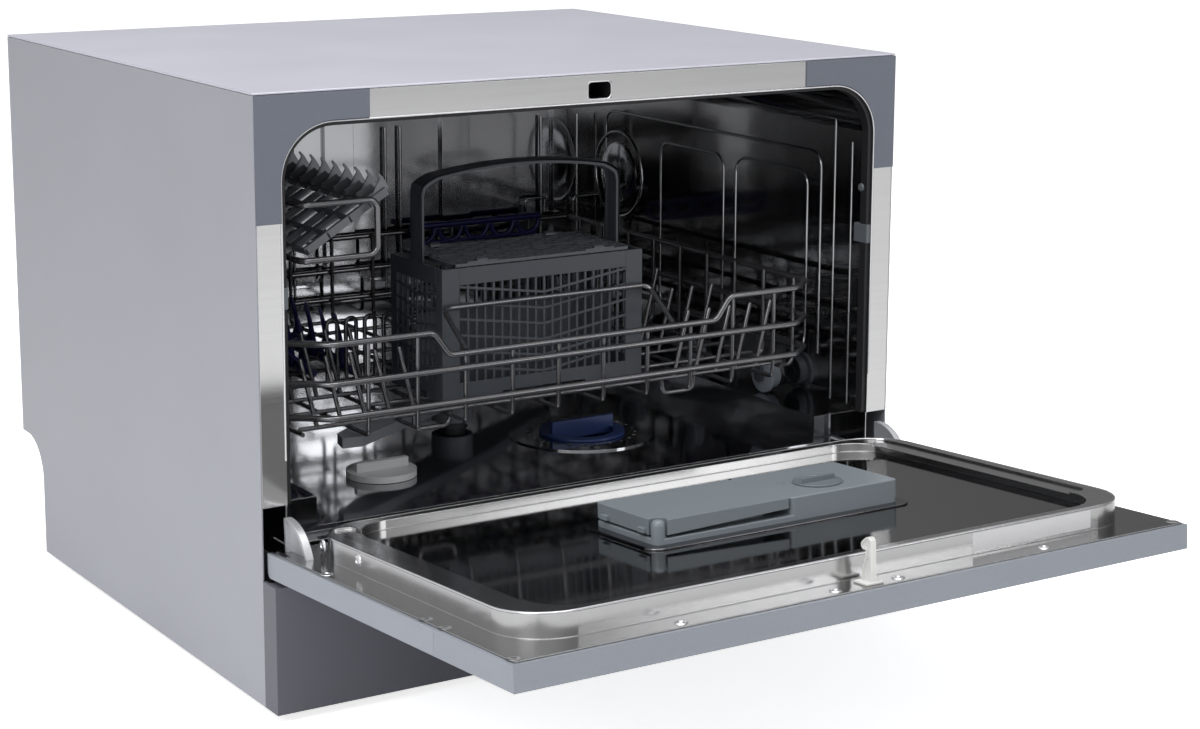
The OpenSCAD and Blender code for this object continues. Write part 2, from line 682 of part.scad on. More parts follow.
module display_window() color([0.03, 0.03, 0.04]) on_door()
    block([95, door_front + 0.1, button_z - 11], [165, door_front + 1.2, button_z + 11]);

module front_button() {
    rotate([-90, 0, 0]) cylinder(r = button_r, h = 9);
    translate([0, panel_t + 0.7, 0]) rotate([-90, 0, 0]) cylinder(r = button_r + 2, h = 1.6);
}

module power_button() color([0.80, 0.81, 0.83]) on_door()
    translate([-button_x, door_front - 0.6, button_z]) front_button();

module start_button() color([0.80, 0.81, 0.83]) on_door()
    translate([button_x, door_front - 0.6, button_z]) front_button();

module control_board() color([0.10, 0.35, 0.20]) on_door() {
    block([-button_x - 14, door_front + 11, button_z - 14], [button_x + 14, door_front + 12.6, button_z + 12]);
    for (x = [-150, 0, 60, 185], z = [button_z - 10, button_z + 8])
        translate([x, door_front + panel_t, z]) rotate([-90, 0, 0]) cylinder(r = 2.5, h = 8.5);
    block([-90, door_front + 6, button_z - 12], [-50, door_front + 11, button_z + 6]);
}

module door_liner() color([0.68, 0.68, 0.69]) on_door() difference() {
    union() {
        upright(door_inner - flange_t, door_inner) translate([-door_half + door_side_t + 0.2, door_bottom + 2])
            square([door_w - 2 * door_side_t - 0.4, door_top - panel_t - door_bottom - 2.2]);
        upright(door_inner - 0.5, door_inner + rim_h)
            round_rect([-plateau_w / 2, plateau_z0], [plateau_w / 2, plateau_z1], rim_r);
    }
    // pan and wheel channels
    upright(door_inner + pan_h, door_inner + rim_h + 1)
        round_rect([-plateau_w / 2 + 24, plateau_z0 + 10], [plateau_w / 2 - 24, plateau_z1 - rim_w],
            rim_r - rim_w);
    both_sides() upright(door_inner + channel_h, door_inner + rim_h + 1)
        round_rect([plateau_w / 2 - 27, plateau_z0 + 12], [plateau_w / 2 - rim_w, plateau_z1 - 42], 7);
    // hollow behind
    upright(door_inner - 2, door_inner + pan_h - 1)
        round_rect([-plateau_w / 2 + 1, plateau_z0 + 1], [plateau_w / 2 - 1, plateau_z1 - 1], rim_r - 1);
    both_sides()
        block([bracket_x - 0.8, door_inner - 2, door_bottom], [bracket_x + bracket_t + 1, 3, pivot_z + 13]);
    for (p = screw_spots) translate([p[0], door_inner - 2, p[1]]) rotate([-90, 0, 0])
        cylinder(r = 1.7, h = 3);
}

module door_screws() color([0.75, 0.75, 0.77]) on_door()
    for (p = screw_spots) translate([p[0], door_inner, p[1]]) rotate([-90, 0, 0]) {
        cylinder(r = 3.1, h = 0.3);
        translate([0, 0, -7]) cylinder(r = 1.4, h = 7.1);
    }

module hinge_arms() color([0.60, 0.62, 0.65]) on_door() both_sides() {
    translate([arm_x, 0, 0]) rotate([90, 0, 90]) linear_extrude(arm_t) difference() {
        union() {
            translate([pivot_y, pivot_z]) circle(6.2);
            translate([pivot_y - 5, pivot_z]) square([10, arm_len]);
            translate([pivot_y - 5, pivot_z + 20]) square([door_inner - flange_t - pivot_y + 5, arm_len - 20]);
        }
        translate([pivot_y, pivot_z]) circle(pin_r + pin_play);
    }
    block([arm_x - 9, door_inner - flange_t - 1.5, pivot_z + 20],
        [arm_x + arm_t, door_inner - flange_t, pivot_z + arm_len]);
}

module hinge_covers() color([0.82, 0.83, 0.84]) on_door() both_sides()
    translate([cover_x, 0, 0]) rotate([90, 0, 90]) {
        difference() {
            linear_extrude(cover_t) intersection() {
                translate([pivot_y, pivot_z]) circle(34);
                translate([door_inner, pivot_z - 2]) square([40, 40]);
            }
            translate([0, 0, 1.5]) linear_extrude(cover_t) intersection() {
                translate([pivot_y, pivot_z]) circle(31);
                translate([door_inner - 1, pivot_z + 1]) square([40, 40]);
            }
        }
    }

module latch_hook() color([0.93, 0.93, 0.92]) on_door() difference() {
    union() {
        block([-7, door_inner, door_top - 22.5], [7, door_inner + 1.4, door_top - 7]);
        block([-2.5, door_inner, door_top - 17.5], [2.5, door_inner + 30, door_top - 10]);
    }
    block([-3, door_inner + 16, door_top - 18], [3, door_inner + 24, door_top - 13.5]);
    translate([-8, door_inner + 8, door_top - 13.7]) rotate([0, 90, 0]) cylinder(r = 1.5, h = 16);
}

module dispenser_body() color([0.36, 0.41, 0.43]) on_door() {
    x0 = dispenser_x0;
    x1 = x0 + dispenser_w;
    z0 = dispenser_z0;
    z1 = z0 + dispenser_d;
    pan_low = pan_y + 4;
    difference() {
        union() {
            upright(pan_y, pan_low) round_rect([x0, z0], [x1, z1], 5);
            upright(pan_low - 1, dispenser_y) round_rect([x0 + lid_w + 0.5, z0], [x1, z1], 5);
            // detergent cup under the lid
            upright(pan_low - 1, dispenser_y - 2.3) round_rect([x0 + 20, z0 + 12], [x0 + 100, z1 - 12], 8);
            // corner post beside the lid
            translate([x0 + 5, pan_low - 1, z1 - 5]) rotate([-90, 0, 0])
                cylinder(r = 5, h = dispenser_y - pan_low + 1);
        }
        upright(pan_y + 1.5, dispenser_y) round_rect([x0 + 22, z0 + 14], [x0 + 98, z1 - 14], 6);
        translate([rinse_x, dispenser_y - 8, rinse_z]) rotate([-90, 0, 0]) cylinder(r = rinse_r - 5.7, h = 10);
    }
}

module dispenser_lid() color([0.38, 0.43, 0.46]) on_door() {
    x0 = dispenser_x0;
    z0 = dispenser_z0;
    z1 = z0 + dispenser_d;
    difference() {
        upright(lid_y0, dispenser_y) round_rect([x0 + 0.4, z0 + 0.5], [x0 + lid_w, z1], 3);
        upright(lid_y0 - 1, dispenser_y - 2) round_rect([x0 + 2.4, z0 + 2.5], [x0 + lid_w - 2, z1 - 2], 2);
        translate([x0 + 5, lid_y0 - 1, z1 - 5]) rotate([-90, 0, 0]) cylinder(r = 8, h = 20);
    }
    // hinge barrels
    for (z = [z0 + 10, z1 - 20]) translate([x0 - 1, lid_hinge_y, z]) cylinder(r = 1.6, h = 8);
}

module rinse_cap() color([0.30, 0.35, 0.38]) on_door()
    translate([rinse_x, dispenser_y, rinse_z]) rotate([-90, 0, 0]) {
        translate([0, 0, 0.2]) cylinder(r = rinse_r, h = 1.6);
        translate([0, 0, -6]) cylinder(r = rinse_r - 6, h = 7);
        translate([-rinse_r + 3, -2.2, 1.5]) cube([2 * rinse_r - 6, 4.4, 4]);
    }

// ---- Basket, drawn pulled out ----

// Places of a row of wires that starts after an edge and repeats at a pitch.
function spaced(from, length, before, after, pitch) =
    [for (i = [0:floor((length - before - after) / pitch)]) from + before + pitch * i];

module basket_floor() color([0.44, 0.43, 0.43]) in_basket() {
    for (x = spaced(-basket_half, basket_w, 28.5, 28.5, 41))
        rod([x, basket_front + 6, floor_wire_z], [x, basket_back - 9, floor_wire_z], wire_d);
    for (y = spaced(basket_front, basket_d, 26, 15, 35))
        rod([-post_x + wire_d / 2 + gap, y, floor_top_z], [post_x - wire_d / 2 - gap, y, floor_top_z], wire_d);
    // bent feet under the front
    foot_low = floor_wire_z - 11;
    foot_high = floor_wire_z - wire_d / 2 - 0.2;
    for (x = [-basket_half + 69.5, basket_half - 110.5]) bent_wire([[x, basket_front + 36, foot_high],
        [x, basket_front + 36, foot_low], [x, basket_front + 76, foot_low], [x, basket_front + 76, foot_high]],
        5, wire_d, ref = [1, 0, 0]);
}

module side_posts(y_list) for (y = y_list)
    rod([post_x, y, floor_top_z - wire_d], [post_x, y, rail_top + 1], wire_d);

module basket_right_wall() color([0.44, 0.43, 0.43]) in_basket() {
    for (z = [rail_top, rail_mid, rail_low])
        rod([rail_x, basket_front + 14, z], [rail_x, basket_back - 14.1, z], rail_d);
    side_posts(spaced(basket_front, basket_d, 43, 28, 40));
}

module basket_left_wall() color([0.44, 0.43, 0.43]) in_basket() mirror([1, 0, 0]) {
    for (z = [rail_top, rail_mid, rail_low])
        rod([rail_x, basket_front + 60, z], [rail_x, basket_back - 14.1, z], rail_d);
    side_posts(spaced(basket_front, basket_d, 68, 29, 42));
}

module basket_front_wall() color([0.44, 0.43, 0.43]) in_basket() {
    wrap_x = -rail_x - rail_d - gap;
    y = basket_front;
    start = [[wrap_x, y + 54], [wrap_x, y + 27], [-rail_x + 28, y]];
    finish = [[rail_x, y], [rail_x, y + 13.9]];
    dip = [[dip_left - dip_run / 2, 0], [dip_left + dip_run / 2, -rail_dip],
        [dip_right - dip_run / 2, -rail_dip], [dip_right + dip_run / 2, 0]];
    bent_wire(concat([for (p = start) [p[0], p[1], rail_top]], [for (p = dip) [p[0], y, rail_top + p[1]]],
        [for (p = finish) [p[0], p[1], rail_top]]), 6, rail_d);
    for (z = [rail_mid, rail_low]) bent_wire([for (p = concat(start, finish)) [p[0], p[1], z]], 6, rail_d);
    for (x = spaced(-basket_half, basket_w, 59.5, 7, 40))
        let (low = x > dip_left - 8 && x < dip_right + 8, top = low ? rail_top - rail_dip - 1 : rail_top + 1)
        rod([x, y + post_in, floor_top_z - wire_d], [x, y + post_in, top], wire_d);
    // retaining wire in front of the cutlery basket
    low_y = y + rail_d / 2 - 0.1;
    low_z = rail_top - rail_dip + 1.5;
    left = cutlery_x0 - 1;
    right = cutlery_x0 + cutlery_w + 4;
    bent_wire([[left, low_y, low_z], [left, cutlery_y0 - 3, rail_top + 8],
        [right, cutlery_y0 - 3, rail_top + 8], [right, low_y, low_z]], 6, 4);
}

module basket_back_wall() color([0.44, 0.43, 0.43]) in_basket() {
    y = basket_back - rail_d / 2;
    for (z = [rail_top, rail_mid, rail_low])
        bent_wire([[-rail_x, y - 11.65, z], [-rail_x, y, z], [rail_x, y, z], [rail_x, y - 11.65, z]],
            8, rail_d);
    for (x = spaced(-basket_half, basket_w, 28.5, 28.5, 41))
        rod([x, y - post_in, floor_top_z - wire_d], [x, y - post_in, rail_top + 1], wire_d);
}

module shelf_frame() color([0.44, 0.43, 0.43]) in_basket() {
    y0 = shelf_rail_y0;
    y1 = basket_back - 5;
    end_x = shelf_x + 60;
    z0 = shelf_rail_z;
    z1 = z0 + shelf_frame_h;
    bent_wire([[end_x, y1, z0 + 24], [end_x, y1, z0], [shelf_x, y1, z0], [shelf_x, y0, z0], [end_x, y0, z0],
        [end_x, y0, z1], [shelf_x, y0, z1], [shelf_x, y1, z1], [end_x, y1, z1], [end_x, y1, z0 + 24.1]],
        7, rail_d, ref = [0.5, 0.62, 0.6]);
    out_x = -rail_x - post_in;
    in_x = shelf_x - post_in;
    for (y = [basket_front + 60, basket_front + 166, basket_back - 125, basket_back - 35])
        bent_wire([[in_x, y, z1 - 1], [in_x, y, z0 - 20], [out_x, y, z0 - 36], [out_x, y, rail_low - 3]],
            6, wire_d, ref = [0, 1, 0]);
}

module wire_tines() color([0.44, 0.43, 0.43]) in_basket() {
    z = floor_top_z + wire_d / 2 + 0.6;
    left = -basket_half + 30.5;
    right = basket_half - 125.5;
    for (i = [0:4], y = [26, 61]) rod([left + 20 * i, basket_front + y, z],
        [left + 11 + 20 * i, basket_front + y, z + 50], wire_d);
    for (i = [0:5], y = [26, 96, 166]) rod([right + 19 * i, basket_front + y, z],
        [right + 8 + 19 * i, basket_front + y, z + 50], wire_d);
}

module blue_tines() color([0.12, 0.13, 0.42]) in_basket() {
    z = floor_top_z + wire_d / 2 + gap;
    strip_end = basket_back - 13;
    for (i = [0:3]) let (x = -basket_half + 33.5 + 32 * i) {
        block([x - 3, strip_end - 206, z], [x + 3, strip_end, z + 5]);
        for (j = [0:7]) translate([x, strip_end - 194 + 26 * j, z + 4]) cylinder(r1 = 2.6, r2 = 0.9, h = 50);
    }
    // scalloped strip on the back rail
    y = basket_back - rail_d / 2 - post_in - wire_d / 2 - gap;
    upright(y - 5, y) difference() {
        union() {
            translate([62, rail_top]) square([134, 9]);
            for (i = [0:4]) translate([75 + 27 * i, rail_top + 1]) circle(13);
        }
        for (i = [0:4]) translate([75 + 27 * i, rail_top + 1]) circle(9.5);
        translate([50, rail_top + 9]) square([160, 20]);
    }
}

module axle_clips() color([0.45, 0.48, 0.52]) in_basket() both_sides() for (y = wheel_y) {
    block([axle_x0 - 0.8, y - 8, wheel_z - 7],
        [wheel_x - wheel_w / 2 - 1, y + 8, rail_low - rail_d / 2 - 0.1]);
    translate([axle_x0, y, wheel_z]) rotate([0, 90, 0])
        cylinder(r = axle_r, h = wheel_x + wheel_w / 2 + 1 - axle_x0);
}

// One wheel on its axle, seen from outside: tread, hub face and six spokes.
module basket_wheel() rotate([0, 90, 0]) {
    hub_z = wheel_w - 4.1;
    difference() {
        cylinder(r = wheel_r, h = wheel_w);
        translate([0, 0, hub_z + 0.1]) cylinder(r = wheel_r - 2, h = 6);
        translate([0, 0, -1]) cylinder(r = axle_r + axle_play, h = 20);
    }
    difference() {
        union() {
            translate([0, 0, hub_z]) cylinder(r = 6, h = 4.1);
            for (a = [0:60:300]) rotate([0, 0, a]) translate([5, -1, hub_z]) cube([wheel_r - 6.5, 2, 3.6]);
        }
        translate([0, 0, -1]) cylinder(r = axle_r + axle_play, h = 20);
    }
}

module wheel_row(i) color([0.50, 0.53, 0.57]) in_basket() both_sides()
    translate([wheel_x - wheel_w / 2, wheel_y[i], wheel_z]) basket_wheel();

module wheel_row_1() wheel_row(0);
module wheel_row_2() wheel_row(1);
module wheel_row_3() wheel_row(2);
module wheel_row_4() wheel_row(3);

module cutlery_basket() color([0.36, 0.38, 0.41]) in_basket()
translate([cutlery_x0, cutlery_y0, cutlery_z0]) {
    t = cutlery_t;
    // long walls
    for (y = [t, cutlery_d]) translate([0, y, 0]) rotate([90, 0, 0])
        grid_plate(cutlery_w, cutlery_h, t, 14, 12, 5, 2.4);
    // end walls
    for (x = [0, cutlery_w - t]) translate([x, t, 0]) rotate([90, 0, 90])
        grid_plate(cutlery_d - 2 * t, cutlery_h, t, 12, 5, 5, 2.4);
    translate([t, t, 0]) grid_plate(cutlery_w - 2 * t, cutlery_d - 2 * t, t, 5, 12, 5, 2.4);
    // divider
    translate([t, cutlery_d / 2 - 1, t]) cube([cutlery_w - 2 * t, 2, 60]);
}

// A slotted lid over half of the cutlery basket, with a rolled hinge edge along y = half its thickness.
module cutlery_lid() {
    mid = cutlery_lid_t / 2;
    translate([0, mid, 0]) grid_plate(cutlery_w - 20, cutlery_d / 2 - 1 - cutlery_lid_in - mid, cutlery_lid_t,
        3, 12, 3, 2.4);
    translate([0, mid, mid]) rotate([0, 90, 0]) cylinder(r = mid + 0.15, h = cutlery_w - 20);
}

module cutlery_lid_front() color([0.34, 0.36, 0.39]) in_basket()
    translate([cutlery_x0 + 10, cutlery_y0 + cutlery_lid_in, cutlery_lid_z]) cutlery_lid();

module cutlery_lid_back() color([0.34, 0.36, 0.39]) in_basket()
    translate([cutlery_x0 + 10, cutlery_y0 + cutlery_d - cutlery_lid_in, cutlery_lid_z]) mirror([0, 1, 0])
    cutlery_lid();

// Height of the handle's arch at x, measured from its middle.
function arch_z(x, half) = handle_h - 9 * (x / half) * (x / half);

module cutlery_handle() color([0.30, 0.32, 0.35]) in_basket()
    translate([cutlery_x0 + cutlery_w / 2, 0, cutlery_top]) {
        half = cutlery_w / 2;
        in_half = half - handle_t;
        y = cutlery_y0 + cutlery_d / 2 + handle_depth / 2;
        outer = concat([[-half, 0]],
            [for (i = [0:12]) let (x = -half + 7 + i * (cutlery_w - 14) / 12) [x, arch_z(x, half)]],
            [[half, arch_z(half, half) - 7], [half, 0]]);
        inner = concat([[in_half, 0]],
            [for (i = [0:12]) let (x = in_half - 6 - i * (2 * in_half - 12) / 12)
                [x, arch_z(x, half) - handle_t]],
            [[-in_half, arch_z(half, half) - handle_t - 5], [-in_half, 0]]);
        translate([0, y, 0]) rotate([90, 0, 0]) linear_extrude(handle_depth) polygon(concat(outer, inner));
    }

// A cup shelf lying along its rail, hinge at the origin.
module cup_shelf() rotate([0, -shelf_slope, 0]) {
    translate([9, 0, -shelf_t / 2]) grid_plate(shelf_reach - 12, shelf_l, shelf_t, 4, 3, 9, 4);
    for (i = [0:8]) translate([0, 5 + i * (shelf_l - 8) / 8.5, 0]) rotate([90, 0, 0]) linear_extrude(2.2)
        polygon([[shelf_reach - 18, shelf_t / 2 - 0.5], [shelf_reach - 3, shelf_t / 2 - 0.5],
            [shelf_reach, 13], [shelf_reach - 2, 14], [shelf_reach - 8, 5.5], [shelf_reach - 16, 3]]);
    for (y = [20, shelf_l - 60]) translate([0, y, 0]) difference() {
        union() {
            rotate([-90, 0, 0]) cylinder(r = 5.2, h = 12);
            block([3.5, 0, -shelf_t / 2], [10, 12, shelf_t / 2]);
        }
        translate([0, -1, 0]) rotate([-90, 0, 0]) cylinder(r = rail_d / 2 + 0.1, h = 14);
    }
}

module cup_shelf_front() color([0.42, 0.45, 0.49]) in_basket()
    translate([shelf_x, shelf_y[0], shelf_rail_z]) cup_shelf();

module cup_shelf_rear() color([0.42, 0.45, 0.49]) in_basket()
    translate([shelf_x, shelf_y[1], shelf_rail_z]) cup_shelf();

base_pan();
rubber_feet();
left_side_panel();
right_side_panel();
top_panel();
back_panel();
plinth_panel();
corner_trims();
tub_wrap();
tub_back_wall();
tub_floor();
door_seal();
door_lock();
hinge_brackets();
hinge_pins();
sump();
filter_plate();
wash_pump();
drain_pump();
water_softener();
inlet_valve();
rear_fittings();
air_break();
cabinet_screws();
spray_arm();
micro_filter();
salt_cap();
door_outer_panel();
control_panel();
door_liner();
hinge_arms();
hinge_covers();
latch_hook();
dispenser_body();
dispenser_lid();
rinse_cap();
door_screws();
display_window();
control_board();
power_button();
start_button();
basket_floor();
basket_left_wall();
basket_right_wall();
basket_front_wall();
basket_back_wall();
shelf_frame();
wire_tines();
blue_tines();
axle_clips();
cutlery_basket();
cutlery_handle();
cutlery_lid_front();
cutlery_lid_back();
cup_shelf_front();
cup_shelf_rear();
wheel_row_1();
wheel_row_2();
wheel_row_3();
wheel_row_4();
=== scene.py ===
# Countertop dishwasher with its door down: painted cabinet, steel tub, drop-down door and wire basket.
# Lamps, camera and floor are in metres. Pieces are drawn in millimetres, then placed in the shared frame.
import math
import bmesh
import bpy
from mathutils import Matrix, Vector


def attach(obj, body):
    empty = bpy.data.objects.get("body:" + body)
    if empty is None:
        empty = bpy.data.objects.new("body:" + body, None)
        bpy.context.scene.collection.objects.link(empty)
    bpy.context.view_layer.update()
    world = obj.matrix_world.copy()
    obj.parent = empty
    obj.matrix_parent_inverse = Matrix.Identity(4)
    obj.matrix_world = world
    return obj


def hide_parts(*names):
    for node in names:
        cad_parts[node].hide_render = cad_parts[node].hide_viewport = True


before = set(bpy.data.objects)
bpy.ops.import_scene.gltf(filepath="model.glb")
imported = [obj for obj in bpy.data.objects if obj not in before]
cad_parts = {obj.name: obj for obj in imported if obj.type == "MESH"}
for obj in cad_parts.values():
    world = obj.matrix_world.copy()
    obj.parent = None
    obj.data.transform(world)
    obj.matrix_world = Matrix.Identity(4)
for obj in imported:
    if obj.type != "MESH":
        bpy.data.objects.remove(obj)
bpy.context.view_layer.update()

# ---- Studio: camera, lamps, floor ----
# The camera stands front left of the cabinet, a little above it, at the photograph's viewing angle.
# A large soft lamp overhead and two weaker ones, at the left and low in front, light a plain white floor.
camera_data = bpy.data.cameras.new("camera")
camera_data.lens = 74.835
camera_data.sensor_width = 36
camera_data.shift_x = -0.0276
camera_data.shift_y = -0.0679
camera_data.clip_end = 60
camera = bpy.data.objects.new("camera", camera_data)
bpy.context.scene.collection.objects.link(camera)
turn, tilt, roll = math.radians(-33.244), math.radians(11.011), math.radians(0.431)
ahead = Vector((-math.sin(turn) * math.cos(tilt), math.cos(turn) * math.cos(tilt), -math.sin(tilt)))
across = ahead.cross(Vector((0, 0, 1))).normalized()
upward = across.cross(ahead)
right = across * math.cos(roll) + upward * math.sin(roll)
top = upward * math.cos(roll) - across * math.sin(roll)
stand = Matrix.Translation((-0.97095, -1.59780, 0.63377))
camera.matrix_world = stand @ Matrix((right, top, -ahead)).transposed().to_4x4()
bpy.context.scene.camera = camera


def soft_lamp(name, place, target, size, watts):
    """A rectangular lamp at a place, turned towards a target."""
    lamp = bpy.data.lights.new(name, "AREA")
    lamp.shape, lamp.size, lamp.size_y, lamp.energy = "RECTANGLE", size[0], size[1], watts
    lamp_object = bpy.data.objects.new(name, lamp)
    lamp_object.location = place
    lamp_object.rotation_euler = (Vector(target) - Vector(place)).to_track_quat("-Z", "Y").to_euler()
    bpy.context.scene.collection.objects.link(lamp_object)


soft_lamp("overhead_lamp", (-0.3, -0.5, 2.4), (0, 0, 0.2), (2.4, 2.0), 38)
soft_lamp("left_lamp", (-2.3, -1.1, 1.9), (0, 0, 0.35), (1.4, 1.4), 22)
soft_lamp("front_lamp", (1.9, -2.9, 1.05), (0, 0, 0.2), (0.8, 0.5), 7)

# steel reflects a studio that is bright above and on the left and darker low on the right
bright_way, dark_until, bright_from = (-0.55, -0.1, 0.8), -0.35, 0.6
dimmest_mirrored, fill_light = 0.12, 0.45
world = bpy.data.worlds.new("studio")
bpy.context.scene.world = world
world.use_nodes = True
sky = world.node_tree
backdrop = sky.nodes["Background"]
backdrop.inputs["Color"].default_value = (1, 1, 1, 1)
seen = sky.nodes.new("ShaderNodeLightPath")
way = sky.nodes.new("ShaderNodeTexCoord")
lit_side = sky.nodes.new("ShaderNodeVectorMath")
lit_side.operation = "DOT_PRODUCT"
lit_side.inputs[1].default_value = bright_way
sky.links.new(way.outputs["Generated"], lit_side.inputs[0])
reflected = sky.nodes.new("ShaderNodeMapRange")
reflected.inputs["From Min"].default_value = dark_until
reflected.inputs["From Max"].default_value = bright_from
reflected.inputs["To Min"].default_value = dimmest_mirrored
reflected.inputs["To Max"].default_value = 1.0
sky.links.new(lit_side.outputs["Value"], reflected.inputs["Value"])
indirect = sky.nodes.new("ShaderNodeMix")
indirect.inputs["A"].default_value = fill_light
sky.links.new(seen.outputs["Is Glossy Ray"], indirect.inputs["Factor"])
sky.links.new(reflected.outputs["Result"], indirect.inputs["B"])
strength = sky.nodes.new("ShaderNodeMix")
strength.inputs["B"].default_value = 1.0
sky.links.new(seen.outputs["Is Camera Ray"], strength.inputs["Factor"])
sky.links.new(indirect.outputs["Result"], strength.inputs["A"])
sky.links.new(strength.outputs["Result"], backdrop.inputs["Strength"])
bpy.context.scene.view_settings.view_transform = "Standard"


def colour_nodes(name, colour, rough, metal=0.0):
    """A material with its node tree and shader, named after the piece's finish."""
    finish = bpy.data.materials.new(name)
    finish.use_nodes = True
    shader = finish.node_tree.nodes["Principled BSDF"]
    shader.inputs["Base Color"].default_value = (*colour, 1)
    shader.inputs["Roughness"].default_value = rough
    shader.inputs["Metallic"].default_value = metal
    return finish, finish.node_tree, shader


floor_half, floor_level = 9, -0.0004
glow_when_seen, glow_when_mirrored = 0.78, 0.12
floor_mesh = bpy.data.meshes.new("studio_floor")
floor_signs = ((-1, -1), (1, -1), (1, 1), (-1, 1))
floor_corners = [(x * floor_half, y * floor_half, floor_level) for x, y in floor_signs]
floor_mesh.from_pydata(floor_corners, [], [(0, 1, 2, 3)])
studio_floor = bpy.data.objects.new("studio_floor", floor_mesh)
bpy.context.scene.collection.objects.link(studio_floor)
floor_paint, floor_tree, floor_shader = colour_nodes("floor_paint", (0.93, 0.93, 0.93), 0.6)
floor_seen = floor_tree.nodes.new("ShaderNodeLightPath")
floor_mirrored = floor_tree.nodes.new("ShaderNodeMath")
floor_mirrored.operation = "MULTIPLY"
floor_mirrored.inputs[1].default_value = glow_when_mirrored
floor_glow = floor_tree.nodes.new("ShaderNodeMath")
floor_glow.operation = "MULTIPLY_ADD"
floor_glow.inputs[1].default_value = glow_when_seen
floor_tree.links.new(floor_seen.outputs["Is Glossy Ray"], floor_mirrored.inputs[0])
floor_tree.links.new(floor_seen.outputs["Is Camera Ray"], floor_glow.inputs[0])
floor_tree.links.new(floor_mirrored.outputs[0], floor_glow.inputs[2])
floor_tree.links.new(floor_glow.outputs[0], floor_shader.inputs["Emission Strength"])
floor_shader.inputs["Emission Color"].default_value = (1, 1, 1, 1)
floor_mesh.materials.append(floor_paint)

# ---- Cabinet shell ----
# Painted steel sheet screwed to a base pan: two side panels with a rounded hose notch, and a top with a
# rolled front edge, its colour set lighter than the sides' as painted light from above. The paint is silver
# grey, with a fine metallic grain and a faint orange-peel ripple.
# The plinth and the corner trims are moulded plastic, and the feet are rubber.


def painted(name, colour, rough, metal=0.0, grain=900.0, shade=0.06, ripple=0.00002,
            stretch=(1, 1, 1), edge=0.0006):
    """A finish with a grain in colour and gloss, a faint ripple, and softened edges."""
    finish, tree, shader = colour_nodes(name, colour, rough, metal)
    place = tree.nodes.new("ShaderNodeTexCoord")
    spread = tree.nodes.new("ShaderNodeMapping")
    spread.inputs["Scale"].default_value = stretch
    tree.links.new(place.outputs["Object"], spread.inputs["Vector"])
    fine = tree.nodes.new("ShaderNodeTexNoise")
    fine.inputs["Scale"].default_value = grain
    fine.inputs["Detail"].default_value = 4
    broad = tree.nodes.new("ShaderNodeTexNoise")
    broad.inputs["Scale"].default_value = 9
    tree.links.new(spread.outputs["Vector"], fine.inputs["Vector"])
    tree.links.new(place.outputs["Object"], broad.inputs["Vector"])
    both = tree.nodes.new("ShaderNodeMix")
    both.inputs["Factor"].default_value = 0.35
    tree.links.new(fine.outputs["Fac"], both.inputs["A"])
    tree.links.new(broad.outputs["Fac"], both.inputs["B"])
    tones = tree.nodes.new("ShaderNodeValToRGB")
    for stop, ramp_place, change in zip(tones.color_ramp.elements, (0.3, 0.7), (1 - shade, 1 + shade)):
        stop.position = ramp_place
        stop.color = (*[min(c * change, 1) for c in colour], 1)
    tree.links.new(both.outputs["Result"], tones.inputs["Fac"])
    tree.links.new(tones.outputs["Color"], shader.inputs["Base Color"])
    gloss = tree.nodes.new("ShaderNodeMapRange")
    gloss.inputs["To Min"].default_value = rough * 0.8
    gloss.inputs["To Max"].default_value = min(rough * 1.2, 1)
    tree.links.new(both.outputs["Result"], gloss.inputs["Value"])
    tree.links.new(gloss.outputs["Result"], shader.inputs["Roughness"])
    bump = tree.nodes.new("ShaderNodeBump")
    bump.inputs["Strength"].default_value = 0.5
    bump.inputs["Distance"].default_value = ripple
    tree.links.new(fine.outputs["Fac"], bump.inputs["Height"])
    if edge:
        soft_edge = tree.nodes.new("ShaderNodeBevel")
        soft_edge.samples = 4
        soft_edge.inputs["Radius"].default_value = edge
        tree.links.new(soft_edge.outputs["Normal"], bump.inputs["Normal"])
    tree.links.new(bump.outputs["Normal"], shader.inputs["Normal"])
    return finish


def finish_node(finish, *names):
    """Gives CAD nodes a finish in place of their plain one."""
    for node_name in names:
        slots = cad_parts[node_name].data.materials
        slots.clear()
        slots.append(finish)


side_paint = painted("silver_side_paint", (0.39, 0.40, 0.445), 0.38, 0.35, grain=1400)
finish_node(side_paint, "left_side_panel", "right_side_panel")
# the top's colour is set lighter than the sides' as painted light from above
finish_node(painted("top_paint_with_painted_light", (0.66, 0.66, 0.75), 0.36, 0.35, grain=1400), "top_panel")
finish_node(painted("zinc_back_sheet", (0.36, 0.38, 0.41), 0.45, 0.8, grain=240), "back_panel")
finish_node(painted("base_pan_sheet", (0.10, 0.105, 0.115), 0.5, 0.6), "base_pan")
finish_node(painted("foot_rubber", (0.012, 0.012, 0.013), 0.8, ripple=0.00008), "rubber_feet")
finish_node(painted("plinth_plastic", (0.14, 0.14, 0.168), 0.5, ripple=0.00006), "plinth_panel")
finish_node(painted("trim_plastic", (0.15, 0.166, 0.205), 0.42, ripple=0.00004), "corner_trims")
finish_node(painted("screw_steel", (0.62, 0.62, 0.64), 0.3, 1.0), "cabinet_screws")

# ---- Tub ----
# Deep-drawn stainless steel: the front frame is brushed, and the inside is a mirror whose tone is set darker
# than the frame's as painted shade. A black rubber seal lies round the mouth, and the lock sits above the
# frame's slot. The hinge brackets are pressed steel.
front_y = -0.070555  # the front edge of the side panels in the shared frame
cabinet_place = Matrix.Translation((0, front_y, 0)) @ Matrix.Scale(0.001, 4)


